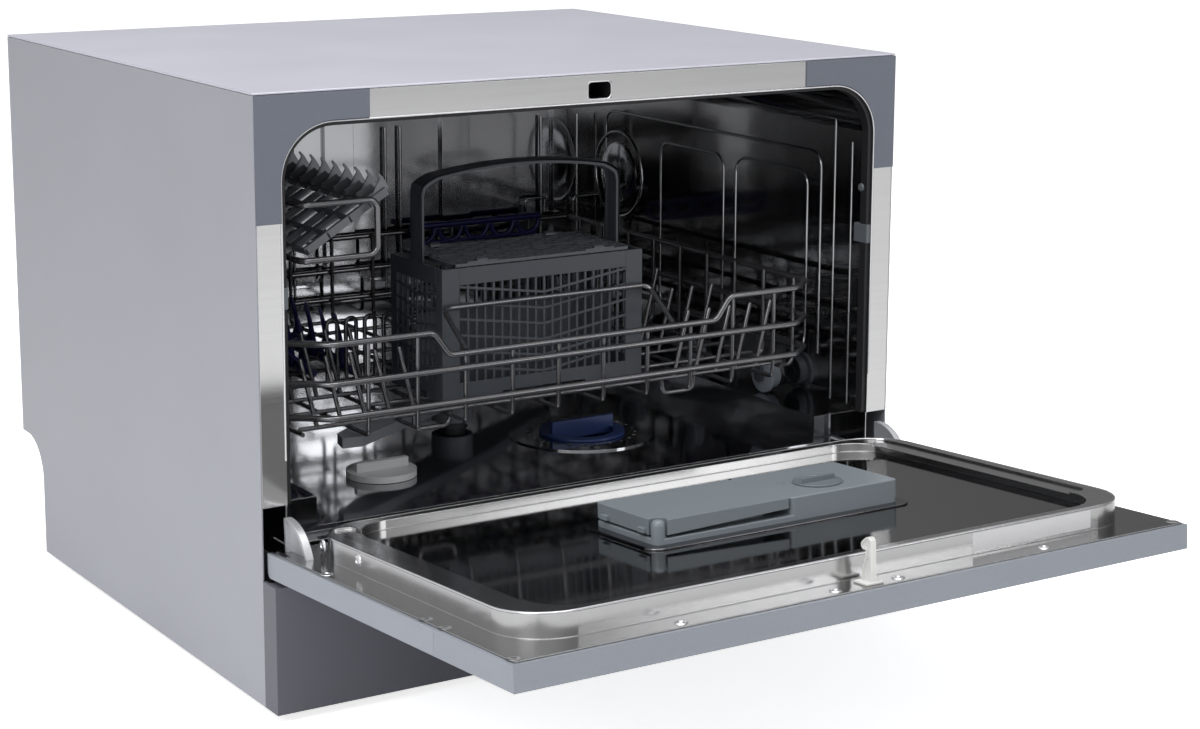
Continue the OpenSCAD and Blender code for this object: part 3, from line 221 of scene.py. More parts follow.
def zoned(name, outward, start, zones, grain=60.0, stretch=(1, 1, 1), edge=0.0006, wall_lift=0):
    """A steel that changes with the height over a plane. A zone is its lowest height in mm, tone and gloss.
    With wall_lift, a face that stands upright counts as that many mm higher."""
    half_gloss, upright_below = 0.5, 0.8
    finish = painted(name, (0.96, 0.96, 0.97), half_gloss, 1.0, grain, 0.04, 0.00001, stretch, edge)
    tree = finish.node_tree
    shader = tree.nodes["Principled BSDF"]
    place = tree.nodes.new("ShaderNodeTexCoord")
    height = tree.nodes.new("ShaderNodeVectorMath")
    height.operation = "DOT_PRODUCT"
    height.inputs[1].default_value = outward
    tree.links.new(place.outputs["Object"], height.inputs[0])
    level_with = height.outputs["Value"]
    if wall_lift:
        faces = tree.nodes.new("ShaderNodeVectorMath")
        faces.operation = "DOT_PRODUCT"
        faces.inputs[1].default_value = outward
        tree.links.new(place.outputs["Normal"], faces.inputs[0])
        upright = tree.nodes.new("ShaderNodeMath")
        upright.operation = "LESS_THAN"
        upright.inputs[1].default_value = upright_below
        tree.links.new(faces.outputs["Value"], upright.inputs[0])
        lifted = tree.nodes.new("ShaderNodeMath")
        lifted.operation = "MULTIPLY_ADD"
        lifted.inputs[1].default_value = wall_lift / 1000
        tree.links.new(upright.outputs[0], lifted.inputs[0])
        tree.links.new(level_with, lifted.inputs[2])
        level_with = lifted.outputs[0]
    span = zones[-1][0] + 10.0
    scale = tree.nodes.new("ShaderNodeMapRange")
    scale.inputs["From Min"].default_value = start
    scale.inputs["From Max"].default_value = start + span / 1000
    tree.links.new(level_with, scale.inputs["Value"])
    for socket, column, gain in (("Base Color", 1, 1), ("Roughness", 2, 1 / half_gloss)):
        ramp = tree.nodes.new("ShaderNodeValToRGB")
        ramp.color_ramp.interpolation = "CONSTANT"
        ramp.color_ramp.elements.remove(ramp.color_ramp.elements[1])
        for k, zone in enumerate(zones):
            stop = ramp.color_ramp.elements[0] if k == 0 else ramp.color_ramp.elements.new(zone[0] / span)
            level = zone[column] * gain
            stop.color = (level, level, level, 1)
        blend = tree.nodes.new("ShaderNodeMix")
        blend.data_type = "RGBA"
        blend.blend_type = "MULTIPLY"
        blend.inputs["Factor"].default_value = 1.0
        tree.links.new(scale.outputs["Result"], ramp.inputs["Fac"])
        tree.links.new(shader.inputs[socket].links[0].from_socket, blend.inputs[6])
        tree.links.new(ramp.outputs["Color"], blend.inputs[7])
        tree.links.new(blend.outputs[2], shader.inputs[socket])
    return finish


# the tub's inside walls, floor, filter and domes: mirror steel with its tone set dark as painted shade
mirror_steel_painted_shade = painted("tub_mirror_steel", (0.40, 0.405, 0.42), 0.09, 1.0, grain=9, ripple=0.0005)
frame_face = front_y - 0.0015
# the frame's face keeps a bright brushed tone; past its edge the wrap is set dark as painted shade inside the
# tub
wrap_zones_painted_shade = [(0, 0.64, 0.12), (2.8, 0.28, 0.09)]
finish_node(zoned("tub_wrap_steel", (0, 1, 0), frame_face, wrap_zones_painted_shade, 420, (0.02, 1, 1)), "tub_wrap")
finish_node(mirror_steel_painted_shade, "tub_back_wall", "tub_floor", "filter_plate")
finish_node(painted("seal_rubber", (0.012, 0.012, 0.014), 0.55, edge=0.0008), "door_seal")
finish_node(painted("lock_plastic", (0.02, 0.02, 0.022), 0.5), "door_lock")
finish_node(painted("hinge_steel", (0.42, 0.43, 0.45), 0.35, 0.9), "hinge_brackets", "hinge_arms")
finish_node(painted("pin_steel", (0.6, 0.6, 0.62), 0.25, 1.0), "hinge_pins")

# ---- Pressed forms of the tub walls ----
# Ridges, a ring and window panels are pressed into each side wall to stiffen the thin steel, and upright
# ridges into the back wall, which also has two small clips. The ring is domed inside. The frame's edges are
# rolled to beads.
wall_x, wall_y = 255.2, 425


def bent(points, radius, steps=7):
    """The points of a wire's centre line, with each inner corner bent round."""
    line = [Vector(points[0])]
    for before, corner, after in zip(points, points[1:], points[2:]):
        back, on = Vector(before) - Vector(corner), Vector(after) - Vector(corner)
        a, b = back.normalized(), on.normalized()
        half = a.angle(b) / 2
        reach = min(radius / math.tan(half), 0.49 * min(back.length, on.length))
        bow = reach * math.tan(half)
        centre = Vector(corner) + (a + b).normalized() * bow / math.sin(half)
        first = (Vector(corner) + a * reach - centre).normalized()
        sweep = math.pi - 2 * half
        for k in range(steps + 1):
            swept = sweep * k / steps
            line.append(centre + bow * (first * math.cos(swept) - a * math.sin(swept)))
    return line + [Vector(points[-1])]


def closed_line(corners, radius):
    """A closed line through corners, each bent round."""
    start = (Vector(corners[0]) + Vector(corners[-1])) / 2
    return bent([start, *corners, start], radius)


def wires(name, runs, finish, body, place, stands_for=()):
    """One piece of round wires. Each run is a list of points in mm with a diameter, or one for each point."""
    curve = bpy.data.curves.new(name, "CURVE")
    curve.dimensions = "3D"
    curve.bevel_depth = 0.0005
    curve.bevel_resolution = 3
    curve.use_fill_caps = True
    for points, diameter in runs:
        run = curve.splines.new("POLY")
        run.points.add(len(points) - 1)
        for k, (knot, point) in enumerate(zip(run.points, points)):
            knot.co = (*(place @ Vector(point)), 1)
            knot.radius = diameter[k] if isinstance(diameter, list) else diameter
        run.use_smooth = True
    curve.materials.append(finish)
    piece = bpy.data.objects.new(name, curve)
    bpy.context.scene.collection.objects.link(piece)
    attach(piece, body)
    if stands_for:
        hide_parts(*stands_for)


# the pressed ridges are set as dark as the inside walls, painted shade
ridge_steel_painted_shade = painted("pressed_ridge_steel", (0.42, 0.425, 0.44), 0.15, 1.0, grain=30, shade=0.05, edge=0)
ring_y, ring_z, ring_radius, ring_wide = 369, 296, 39, 3.4
panel_foot, panel_wide, front_ridge_wide, back_ridge_wide, clip_wide = 186, 2.8, 2.4, 3.0, 2.6
ridges = []
for x in (-wall_x - 0.3, wall_x + 0.3):
    angles = [math.radians(a) for a in range(0, 361, 12)]
    ring = [(x, ring_y + ring_radius * math.cos(a), ring_z + ring_radius * math.sin(a)) for a in angles]
    ridges.append((ring, ring_wide))
    for near, far, head in ((203, 300, 334), (84, 185, 335)):
        panel = [(x, far, panel_foot), (x, far, head), (x, near, head), (x, near, panel_foot)]
        ridges.append((closed_line(panel, 13), panel_wide))
    border = bent([(x, 391, 240), (x, 391, 353), (x, 66, 353), (x, 66, panel_foot)], 14)
    ridges.append((border, panel_wide))
    for y, head in ((48, 382), (26, 366)):
        ridges.append(([(x, y, 152), (x, y, head)], front_ridge_wide))
for x in (45, 60, 206, 245):
    for side in (-1, 1):
        ridges.append(([(side * x, wall_y + 0.3, 196), (side * x, wall_y + 0.3, 346)], back_ridge_wide))
for left, low in ((188, 257), (240, 255)):
    clip = [(left, wall_y - 1, low), (left, wall_y - 2, low + 14), (left + 21, wall_y - 2, low + 14),
            (left + 21, wall_y - 1, low)]
    ridges.append((bent(clip, 4), clip_wide))
wires("tub_ridges", ridges, ridge_steel_painted_shade, "cabinet", cabinet_place)


def turned(shape, profile, place, steps=32):
    """Adds a turned form: a profile of radius and height swept round, closed at both ends."""
    rings = []
    around = [2 * math.pi * k / steps for k in range(steps)]
    for radius, height in profile:
        circle = [Vector((radius * math.cos(a), radius * math.sin(a), height)) for a in around]
        rings.append([shape.verts.new(place @ point) for point in circle])
    for lower, upper in zip(rings, rings[1:]):
        for k in range(steps):
            n = (k + 1) % steps
            shape.faces.new((lower[k], lower[n], upper[n], upper[k]))
    shape.faces.new(rings[0][::-1])
    shape.faces.new(rings[-1])


def settle(shape, name, finish, body, place, rounding=0.0, stands_for=()):
    """Makes a mesh a piece of the object, in the shared frame, with softly rounded edges."""
    sharp_angle = math.radians(35)
    bmesh.ops.recalc_face_normals(shape, faces=shape.faces)
    data = bpy.data.meshes.new(name)
    shape.to_mesh(data)
    shape.free()
    data.transform(place)
    data.materials.append(finish)
    data.polygons.foreach_set("use_smooth", [True] * len(data.polygons))
    data.set_sharp_from_angle(angle=sharp_angle)
    piece = bpy.data.objects.new(name, data)
    bpy.context.scene.collection.objects.link(piece)
    if rounding:
        edges = piece.modifiers.new("rounded_edges", "BEVEL")
        edges.width, edges.segments, edges.angle_limit = rounding, 2, sharp_angle
        edges.harden_normals = True
    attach(piece, body)
    if stands_for:
        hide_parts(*stands_for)


def facing(x, y, z, along):
    """Stands a form at a place in mm, its height along X with along 0 or along Y with along 1."""
    if along == 0:
        return Matrix(((0, 0, 1, x), (1, 0, 0, y), (0, 1, 0, z), (0, 0, 0, 1)))
    return Matrix(((1, 0, 0, x), (0, 0, 1, y), (0, 1, 0, z), (0, 0, 0, 1)))


dome_radius, dome_rise = 30, 3.6
domes = bmesh.new()
for side in (-1, 1):
    angles = [math.radians(a) for a in range(0, 89, 11)]
    swell = [(dome_radius * math.cos(a), -side * dome_rise * math.sin(a) + 0.3 * side) for a in angles]
    turned(domes, swell, facing(side * wall_x, ring_y, ring_z, 0))
settle(domes, "ring_domes", mirror_steel_painted_shade, "cabinet", cabinet_place)

# the frame's inner edge and the lock's slot are rolled to bright narrow beads
bead_steel = painted("bead_steel", (0.66, 0.66, 0.68), 0.16, 1.0, edge=0)
mouth = [(-255.6, -0.1, 182), (-255.6, -0.1, 415.6), (255.6, -0.1, 415.6), (255.6, -0.1, 182)]
slot = [(-10.2, 0.55, 418), (10.2, 0.55, 418), (10.2, 0.55, 431), (-10.2, 0.55, 431)]
mouth_wide, slot_wide = 1.7, 1.5
beads = [(bent(mouth, 39.6, 16), mouth_wide), (closed_line(slot, 4), slot_wide)]
wires("frame_beads", beads, bead_steel, "cabinet", cabinet_place)

# ---- Roller stops ----
# A small grey block is clipped to each side wall just inside the mouth, with a round roller above it. They
# stop the basket's wheels.


def prism(shape, outline, low, high, place=Matrix.Identity(4)):
    """Adds a closed prism to a mesh: a flat outline pushed from low to high, then placed."""
    lower = [shape.verts.new(place @ Vector((u, v, low))) for u, v in outline]
    upper = [shape.verts.new(place @ Vector((u, v, high))) for u, v in outline]
    shape.faces.new(lower[::-1])
    shape.faces.new(upper)
    for k in range(len(outline)):
        n = (k + 1) % len(outline)
        shape.faces.new((lower[k], lower[n], upper[n], upper[k]))


stop_plastic = painted("stop_plastic", (0.12, 0.135, 0.15), 0.3)
stop_deep = 4
stops = bmesh.new()
for side in (-1, 1):
    left = min(side * wall_x, side * (wall_x - stop_deep))
    prism(stops, [(0.5, 288), (17, 288), (17, 303), (0.5, 303)], 0, stop_deep, facing(left, 0, 0, 0))
    roller = [(3.4, 0), (3.4, 4), (2.6, 5)] if side < 0 else [(2.6, -5), (3.4, -4), (3.4, 0)]
    turned(stops, roller, facing(side * wall_x, 9, 332, 0))
settle(stops, "rail_stops", stop_plastic, "cabinet", cabinet_place, 0.0008)

# ---- Works under the tub ----
# Moulded pumps, sump, softener, valve and hose ends, screwed to the base pan and hidden apart from the hose
# ends in the notch. The spray arm turns on the sump, over the filter and beside the salt cap.
works_plastic = painted("works_plastic", (0.06, 0.065, 0.07), 0.55)
finish_node(works_plastic, "sump", "wash_pump", "drain_pump", "rear_fittings")
pale_plastic = painted("pale_plastic", (0.68, 0.69, 0.70), 0.45)
finish_node(pale_plastic, "water_softener", "inlet_valve", "air_break", "salt_cap")
finish_node(painted("spray_arm_plastic", (0.26, 0.28, 0.31), 0.42), "spray_arm")
finish_node(painted("filter_plastic", (0.03, 0.06, 0.20), 0.4), "micro_filter")

# ---- Door ----
# A painted steel skin and a plastic control panel are fixed to a deep-drawn steel liner. The liner has a
# satin flange, a raised rim and a mirror-bright pan, its tone set dark as a painted dark reflection. Door
# pieces are drawn with the door shut, in mm, then laid down with it about its hinge.
finish_node(painted("door_paint", (0.32, 0.345, 0.39), 0.36, 0.3, grain=1400), "door_outer_panel")
finish_node(painted("control_plastic", (0.29, 0.315, 0.36), 0.34, ripple=0.00003), "control_panel")
door_turn = math.radians(86.5)
hinge_y, hinge_z = -12, 110
to_pivot = Matrix.Translation((0, hinge_y, hinge_z))
door_place = cabinet_place @ to_pivot @ Matrix.Rotation(door_turn, 4, "X") @ to_pivot.inverted()
face_y, pan_y = -1.7, 8.3  # the liner's flange and its pan with the door shut
# the liner's own outward direction with the door down, and where its flange lies along it
liner_out = Vector((0, math.cos(door_turn), math.sin(door_turn)))
pivot = Vector((0, hinge_y / 1000 + front_y, hinge_z / 1000))
flange_at = liner_out.dot(pivot) + 0.0103
# flange, pan, rim's top, and the upright walls, which are lifted to a zone of their own; the tones are
# painted
# light: the pan is darker as a painted dark reflection, and the rim's top and walls lighter as painted
# highlight
# the gloss differences between the zones are the steel's own; the tone differences are painted light
liner_zones_painted_light = [(0, 0.31, 0.19), (8, 0.22, 0.07), (14, 0.60, 0.18), (22, 0.47, 0.19)]
liner_steel = zoned("liner_steel", liner_out, flange_at - 0.001, liner_zones_painted_light, edge=0.0012, wall_lift=22)
finish_node(liner_steel, "door_liner")
finish_node(painted("cover_steel", (0.60, 0.61, 0.64), 0.34, 0.6), "hinge_covers")

# ---- Latch ----
# A moulded off-white loop on a screwed pad. A thin web fills a ribbed outline, whose hooked end snaps into
# the lock's slot.


def bar(shape, a, b, wide, low, high, place=Matrix.Identity(4)):
    """Adds a straight flat bar from a to b in the outline's plane."""
    side = Vector((a[1] - b[1], b[0] - a[0])).normalized() * wide / 2
    prism(shape, [(a[0] - side[0], a[1] - side[1]), (b[0] - side[0], b[1] - side[1]),
                  (b[0] + side[0], b[1] + side[1]), (a[0] + side[0], a[1] + side[1])], low, high, place)


latch_plastic = painted("latch_plastic", (0.80, 0.80, 0.78), 0.4, edge=0)
hook_middle, slot_middle, hook_gain = 423.3, 424.4, 1.25
hook_side = [(420, face_y + 1.2), (420.4, 6), (422.4, 13.8), (423.6, 15), (423.6, 21), (421.2, 20.6),
             (419.6, 22.2), (420, 24.6), (423.6, 28), (425.6, 28.2), (426.9, 26), (427, face_y + 1.2)]
hook = [(slot_middle + hook_gain * (z - hook_middle), y) for z, y in hook_side]
web_half, rib_wide, rib_half = 0.9, 1.3, 2.3
latch = bmesh.new()
standing = Matrix(((0, 0, 1, 0), (0, 1, 0, 0), (1, 0, 0, 0), (0, 0, 0, 1)))
prism(latch, hook, -web_half, web_half, standing)
for a, b in zip(hook, hook[1:]):
    bar(latch, a, b, rib_wide, -rib_half, rib_half, standing)
prism(latch, [(-7, 417), (7, 417), (7, 431), (-7, 431)], 0, 1.4, facing(0, face_y, 0, 1))
turned(latch, [(1.3, 1.2), (1.3, 2.2), (0.8, 2.6)], facing(4.4, face_y, 424, 1), 16)
settle(latch, "latch_loop", latch_plastic, "door", door_place, 0.0003, ["latch_hook"])

# ---- Rim bead, label and screws ----
# The top edge of the raised rim is rolled to a narrow bead. A blank vinyl label lies on the rim's front wall.
# Bright steel screws hold the rim to the hinge arms, two on each side, and the flange to the door's skin.
rim_corners = [(-249.4, 14.2, 122.6), (249.4, 14.2, 122.6), (249.4, 14.2, 410.9), (-249.4, 14.2, 410.9)]
rim_steel = painted("rim_steel", (0.62, 0.62, 0.64), 0.2, 1.0, edge=0)
wires("rim_bead", [(closed_line(rim_corners, 37.4), 2.0)], rim_steel, "door", door_place)

label_vinyl = painted("label_vinyl", (0.80, 0.80, 0.82), 0.35, edge=0)
label = bmesh.new()
prism(label, [(98.5, 0.4), (205, 0.4), (205, 12.8), (98.5, 12.8)], 411.45, 411.68)
settle(label, "bare_label", label_vinyl, "door", door_place, 0.0001)

screw_head = [(4.4, 0), (4.2, 0.4), (3.5, 0.8), (2.2, 0.95), (1.8, 0.35), (0.1, 0.3)]
rim_screws, flange_screws = bmesh.new(), bmesh.new()
for side in (-1, 1):
    for z in (143, 196):
        turned(rim_screws, [(r, side * h) for r, h in screw_head], facing(side * 250, 7.5, z, 0), 20)
    for z, height_share in ((183, 0.6), (321, 0.25), (345, 0.25), (428, 0.25)):
        flat_head = [(r, height_share * h) for r, h in screw_head]
        turned(flange_screws, flat_head, facing(side * 267, face_y, z, 1), 20)
for x in (-148, -29, 22, 148):
    turned(flange_screws, screw_head, facing(x, face_y, 427, 1), 20)
bright_screw = painted("bright_screw_steel", (0.72, 0.72, 0.74), 0.2, 1.0, edge=0)
settle(rim_screws, "rim_screws", bright_screw, "door", door_place)
settle(flange_screws, "flange_screws", bright_screw, "door", door_place,
       stands_for=["door_screws"])

# ---- Dispenser ----
# A grey-green plastic moulding snapped into the pan, which is pressed up to a shallow step round it. A cup
# for detergent is under a sprung lid with a round catch beside it, and a dial caps the tank for rinse aid.
dispenser_plastic = painted("dispenser_plastic", (0.215, 0.245, 0.27), 0.4, ripple=0.00006, edge=0)
at_face = facing(0, 0, 0, 1)


def rounded(low, high, radius, steps=5):
    """An outline in X and Z with round corners."""
    line = []
    middle_x, middle_z = (low[0] + high[0]) / 2, (low[1] + high[1]) / 2
    quarters = ((high[0], high[1], 0), (low[0], high[1], 90), (low[0], low[1], 180), (high[0], low[1], 270))
    for corner_x, corner_z, start in quarters:
        x = corner_x - math.copysign(radius, corner_x - middle_x)
        z = corner_z - math.copysign(radius, corner_z - middle_z)
        for k in range(steps + 1):
            a = math.radians(start + 90 * k / steps)
            line.append((x + radius * math.cos(a), z + radius * math.sin(a)))
    return line


# the step is set in a dark tone like the pan's, a painted dark reflection
pan_steel_painted_reflection = painted("pan_steel_painted_reflection", (0.14, 0.14, 0.15), 0.10, 1.0, grain=60, edge=0)
step = bmesh.new()
prism(step, rounded((-87, 213), (136, 305), 11, 8), pan_y - 0.4, pan_y + 1.5, at_face)
settle(step, "dispenser_step", pan_steel_painted_reflection, "door", door_place, 1e-3)

base_high, cup_high, body_high = 13.9, 23.5, 26.3
cup_wall, cup_x, cup_z = 2, -19, 259
housing = bmesh.new()
prism(housing, rounded((-79, 221), (128, 297), 5), pan_y, base_high, at_face)
prism(housing, rounded((33.6, 221), (128, 297), 4), 12, body_high, at_face)
cup = rounded((-59, 232), (21, 286), 7)
cup_inside = [(u + math.copysign(cup_wall, cup_x - u), v + math.copysign(cup_wall, cup_z - v))
              for u, v in cup[:1] + cup[::-1]]
prism(housing, cup + cup[:1] + cup_inside, 12, cup_high, at_face)
turned(housing, [(5, 12), (5, 22), (4.6, 24), (3.5, 25.6), (1.4, body_high)], facing(-74, 0, 292, 1), 20)
settle(housing, "dispenser_housing", dispenser_plastic, "door", door_place, 0.0012,
       ["dispenser_body"])

# raised marks: three dots beside the detergent lid's catch and a plain star beside the rinse cap
star_x, star_z, star_reach = 55, 256, 4.5
marks = bmesh.new()
for k in range(3):
    turned(marks, [(0.7, 26.2), (0.6, 26.55)], facing(40 + 5 * k, 0, 268, 1), 10)
for k in range(3):
    a = math.radians(60 * k)
    arm_x, arm_z = star_reach * math.cos(a), star_reach * math.sin(a)
    bar(marks, (star_x - arm_x, star_z - arm_z), (star_x + arm_x, star_z + arm_z), 0.8, 26.2, 26.5, at_face)
settle(marks, "dispenser_marks", dispenser_plastic, "door", door_place)


def shell(shape, outline, wall, high, ceiling, low):
    """Adds a hollow cover: its outline at the top, a wall of a thickness, and a lower edge from low(x)."""
    inner = []
    for k, (u, v) in enumerate(outline):
        (pu, pv), (nu, nv) = outline[k - 1], outline[(k + 1) % len(outline)]
        out = Vector((nv - pv, pu - nu)).normalized() * wall
        inner.append((u - out[0], v - out[1]))
    rows = [[(u, v, high) for u, v in outline], [(u, v, low(u)) for u, v in outline],
            [(u, v, low(u)) for u, v in inner], [(u, v, ceiling) for u, v in inner]]
    rows = [[shape.verts.new(at_face @ Vector(point)) for point in row] for row in rows]
    for upper, lower in zip(rows, rows[1:]):
        for k in range(len(outline)):
            n = (k + 1) % len(outline)
            shape.faces.new((upper[k], upper[n], lower[n], lower[k]))
    shape.faces.new(rows[0])
    shape.faces.new(rows[3][::-1])


# the lid is cut out round the catch, and its lower edge rises towards the rinse cap
catch_x, catch_z, catch_gap = -74, 292, 6.4
lid_wall, lid_ceiling, lid_left, lid_long = 1.8, 24.3, 78.6, 111.6
cut_angles = [math.radians(a) for a in (51, 20, -10, -40, -70, -100, -136)]
catch_cut = [(catch_x + catch_gap * math.cos(a), catch_z + catch_gap * math.sin(a)) for a in cut_angles]
round_lid = rounded((-lid_left, 221.5), (33, 297), 3)
lid_line = round_lid[:6] + catch_cut + round_lid[12:]
cover = bmesh.new()
shell(cover, lid_line, lid_wall, body_high, lid_ceiling, lambda x: 15.6 + 3.6 * (x + lid_left) / lid_long)
for z in (231, 277):
    bar(cover, (-80, z), (-80, z + 8), 3.2, 16.7, 19.9, at_face)
settle(cover, "detergent_cover", dispenser_plastic, "detergent_lid", door_place, 0.0009,
       ["dispenser_lid"])

cap_plastic = painted("cap_plastic", (0.16, 0.185, 0.205), 0.38, ripple=0.00004, edge=0)
cap_side = [(12, 20.3), (12, 26.5), (18, 26.5), (18, 27.5), (17.6, 27.9), (16.4, 27.9), (16, 27.3),
            (0.1, 27.3)]
cap = bmesh.new()
turned(cap, cap_side, facing(77.5, 0, 269, 1), 40)
prism(cap, rounded((62.5, 267.3), (92.5, 270.7), 1.7, 4), 27, 30.8, at_face)
settle(cap, "rinse_dial", cap_plastic, "rinse_cap", door_place, 0.0004, ["rinse_cap"])

# ---- Display and buttons ----
# A dark glossy window and two round buttons are set in the control panel, in front of a green board. Nothing
# is printed on them.
finish_node(painted("display_glass", (0.005, 0.005, 0.006), 0.08), "display_window")
finish_node(painted("board_green", (0.01, 0.10, 0.03), 0.5), "control_board")
finish_node(painted("button_plastic", (0.60, 0.61, 0.63), 0.3), "power_button", "start_button")

# ---- Basket wires ----
# Round steel wire in a grey nylon coat: bent rails outside, thin floor wires and posts welded to them.
# The shelf frame is a bent loop with four legs that jog in. The plate tines lean outwards, and hairpins
# stand behind them.
basket_place = Matrix.Translation((0, 0.266 + front_y, 0)) @ Matrix.Scale(0.001, 4)


def pin(low, high, diameter):
    """A straight wire with a rounded upper end."""
    low, high = Vector(low), Vector(high)
    along = (high - low).normalized()
    ends = [(0.5, 1.0), (0.2, 0.87), (0.05, 0.5)]
    points = [low] + [high - along * diameter * back for back, _ in ends] + [high]
    return points, [diameter] + [diameter * share for _, share in ends] + [diameter * 0.15]


wire_coat = painted("wire_coat", (0.175, 0.175, 0.185), 0.17, 0.8, grain=300, shade=0.04, ripple=0.000002,
                    edge=0)
rail, thick, leg, thin = 4.8, 4.0, 3.8, 3.4
rail_heights = (252, 223, 198)
floor_z, cross_z = 181.2, 184.5
columns, cross_rows = range(-174, 187, 40), range(-203, 126, 41)
floor_runs = [([(x, -222.5, floor_z), (x, 139, floor_z)], thin) for x in columns]
floor_runs += [([(x, -206, floor_z), (x, 139, floor_z)], thin) for x in (-214, 214)]
floor_runs += [([(-215.5, y, cross_z), (215.5, y, cross_z)], thin) for y in cross_rows]
for x in (-120, 101):
    runner = [(x, -200, 184), (x, -200, 171.5), (x + 30, -200, 171.5), (x + 30, -200, 184)]
    floor_runs.append((bent(runner, 6), thick))
wires("basket_floor_wires", floor_runs, wire_coat, "basket", basket_place, ["basket_floor"])

left_corner = [(-235.9, -182), (-235.9, -209), (-203, -236)]
right_corner = [(206, -236), (231.1, -214), (231.1, -200)]
dip = [(-122.5, 252), (-109.5, 234), (127.5, 234), (140.5, 252)]
dipped_rail = [(*p, 252) for p in left_corner] + [(x, -236, z) for x, z in dip]
dipped_rail += [(*p, 252) for p in right_corner]
front_runs = [(bent(dipped_rail, 9), rail)]
front_runs += [(bent([(*p, z) for p in left_corner + right_corner], 9), rail) for z in rail_heights[1:]]
for x in columns:
    head = 235 if -116 < x < 134 else 253
    front_runs.append((bent([(x, -222, floor_z), (x, -231.9, floor_z), (x, -231.9, head)], 8), thin))
retainer = [(-94, -233.4, 235.4), (-94, -198, 260), (89, -198, 260), (89, -233.4, 235.4)]
front_runs.append((bent(retainer, 7), thick))
wires("basket_front_wires", front_runs, wire_coat, "basket", basket_place,
      ["basket_front_wall"])

rail_x, post_x, post_foot_x, post_head = 231.1, 226.95, 214, 253
for side, name, near, posts in ((1, "right", -201, cross_rows), (-1, "left", -176, range(-168, 127, 42))):
    side_runs = [([(side * rail_x, near, z), (side * rail_x, 141, z)], rail) for z in rail_heights]
    for y in posts:
        post = [(side * post_foot_x, y, floor_z), (side * post_x, y, floor_z), (side * post_x, y, post_head)]
        side_runs.append((bent(post, 6), thin))
    wires("basket_%s_wires" % name, side_runs, wire_coat, "basket", basket_place,
          ["basket_%s_wall" % name])

back_runs = []
for z in rail_heights:
    back_rail = [(-rail_x, 140.9, z), (-rail_x, 152.6, z), (rail_x, 152.6, z), (rail_x, 140.9, z)]
    back_runs.append((bent(back_rail, 9), rail))
for x in columns:
    back_runs.append((bent([(x, 138, floor_z), (x, 148.45, floor_z), (x, 148.45, post_head)], 6), thin))
wires("basket_back_wires", back_runs, wire_coat, "basket", basket_place, ["basket_back_wall"])

loop = [(-162, 150, 336), (-162, 150, 312), (-222, 150, 312), (-222, -226, 312), (-162, -226, 312),
        (-162, -226, 352), (-222, -226, 352), (-222, 150, 352), (-162, 150, 352), (-162, 150, 336)]
frame_runs = [(bent(loop, 7), rail)]
for y in (-176, -70, 30, 120):
    jogged_leg = [(-226.1, y, 353), (-226.1, y, 292), (-235.3, y, 276), (-235.3, y, 195)]
    frame_runs.append((bent(jogged_leg, 8), leg))
wires("shelf_frame_wires", frame_runs, wire_coat, "basket", basket_place, ["shelf_frame"])

tine_foot, tine_head, hairpin_head = 184, 237, 234
tine_runs = []
for first, lean, tine_rows in ((-201, -13, (-203, -121)), (110, 14, (-203, -121, -39))):
    for i in range(5):
        x = first + 20 * i
        tine_runs += [pin((x, y, tine_foot), (x + lean, y, tine_head), thin) for y in tine_rows]
for i in range(6):
    x = -128 + 16.5 * i
    hairpin = [(x - 4, -80, tine_foot), (x - 4, -80, hairpin_head), (x + 5, -80, hairpin_head),
               (x + 5, -80, tine_foot)]
    tine_runs.append((bent(hairpin, 4.4), thin))
wires("plate_tines", tine_runs, wire_coat, "basket", basket_place, ["wire_tines"])

# ---- Navy tine strips ----
# Moulded navy strips clipped over the floor wires, with rows of tapered tines and arms from strip to strip,
# and a scalloped strip on the back rail that holds glasses.
navy_plastic = painted("navy_plastic", (0.012, 0.014, 0.13), 0.3, edge=0)
strip_wide, brace_wide, arm_wide, tine_pitch = 6.2, 3.2, 3.0, 26
tine_wide = [6.4, 5.0, 3.8, 3.0, 0.8]
navy_runs = []
for x in (-200, -168, -136, -104):
    wave = [(x + 1.6 * math.sin((y + 64) / tine_pitch * 2 * math.pi), y, 189.6) for y in range(-64, 143, 3)]
    navy_runs.append((wave, strip_wide))
    for i in range(8):
        y = -52 + tine_pitch * i
        tine = [(x, y, 188), (x - 1, y, 200), (x - 4, y, 218), (x - 7, y, 231), (x - 7.4, y, 233)]
        navy_runs.append((tine, tine_wide))
        navy_runs.append((bent([(x, y + 13, 190), (x, y + 11, 201), (x - 2, y, 210)], 8), brace_wide))
        if x < -104:
            navy_runs.append((bent([(x - 2, y, 208), (x + 14, y, 208), (x + 32, y, 191)], 10), arm_wide))
glass_y, scallop_half, scallop_deep = 144.6, 11.5, 12
scallops = []
for i in range(5):
    middle = 75 + 27 * i
    for k in range(11):
        a = math.pi * k / 10
        scallops.append((middle - scallop_half * math.cos(a), glass_y, 254 - scallop_deep * math.sin(a)))
navy_runs.append((scallops, 4.4))
navy_runs.append(([(62, glass_y, 257), (196, glass_y, 257)], 5.6))
navy_runs.append(([(66, glass_y, 241.6), (192, glass_y, 241.6)], 3.6))
wires("navy_tine_strips", navy_runs, navy_plastic, "basket", basket_place, ["blue_tines"])

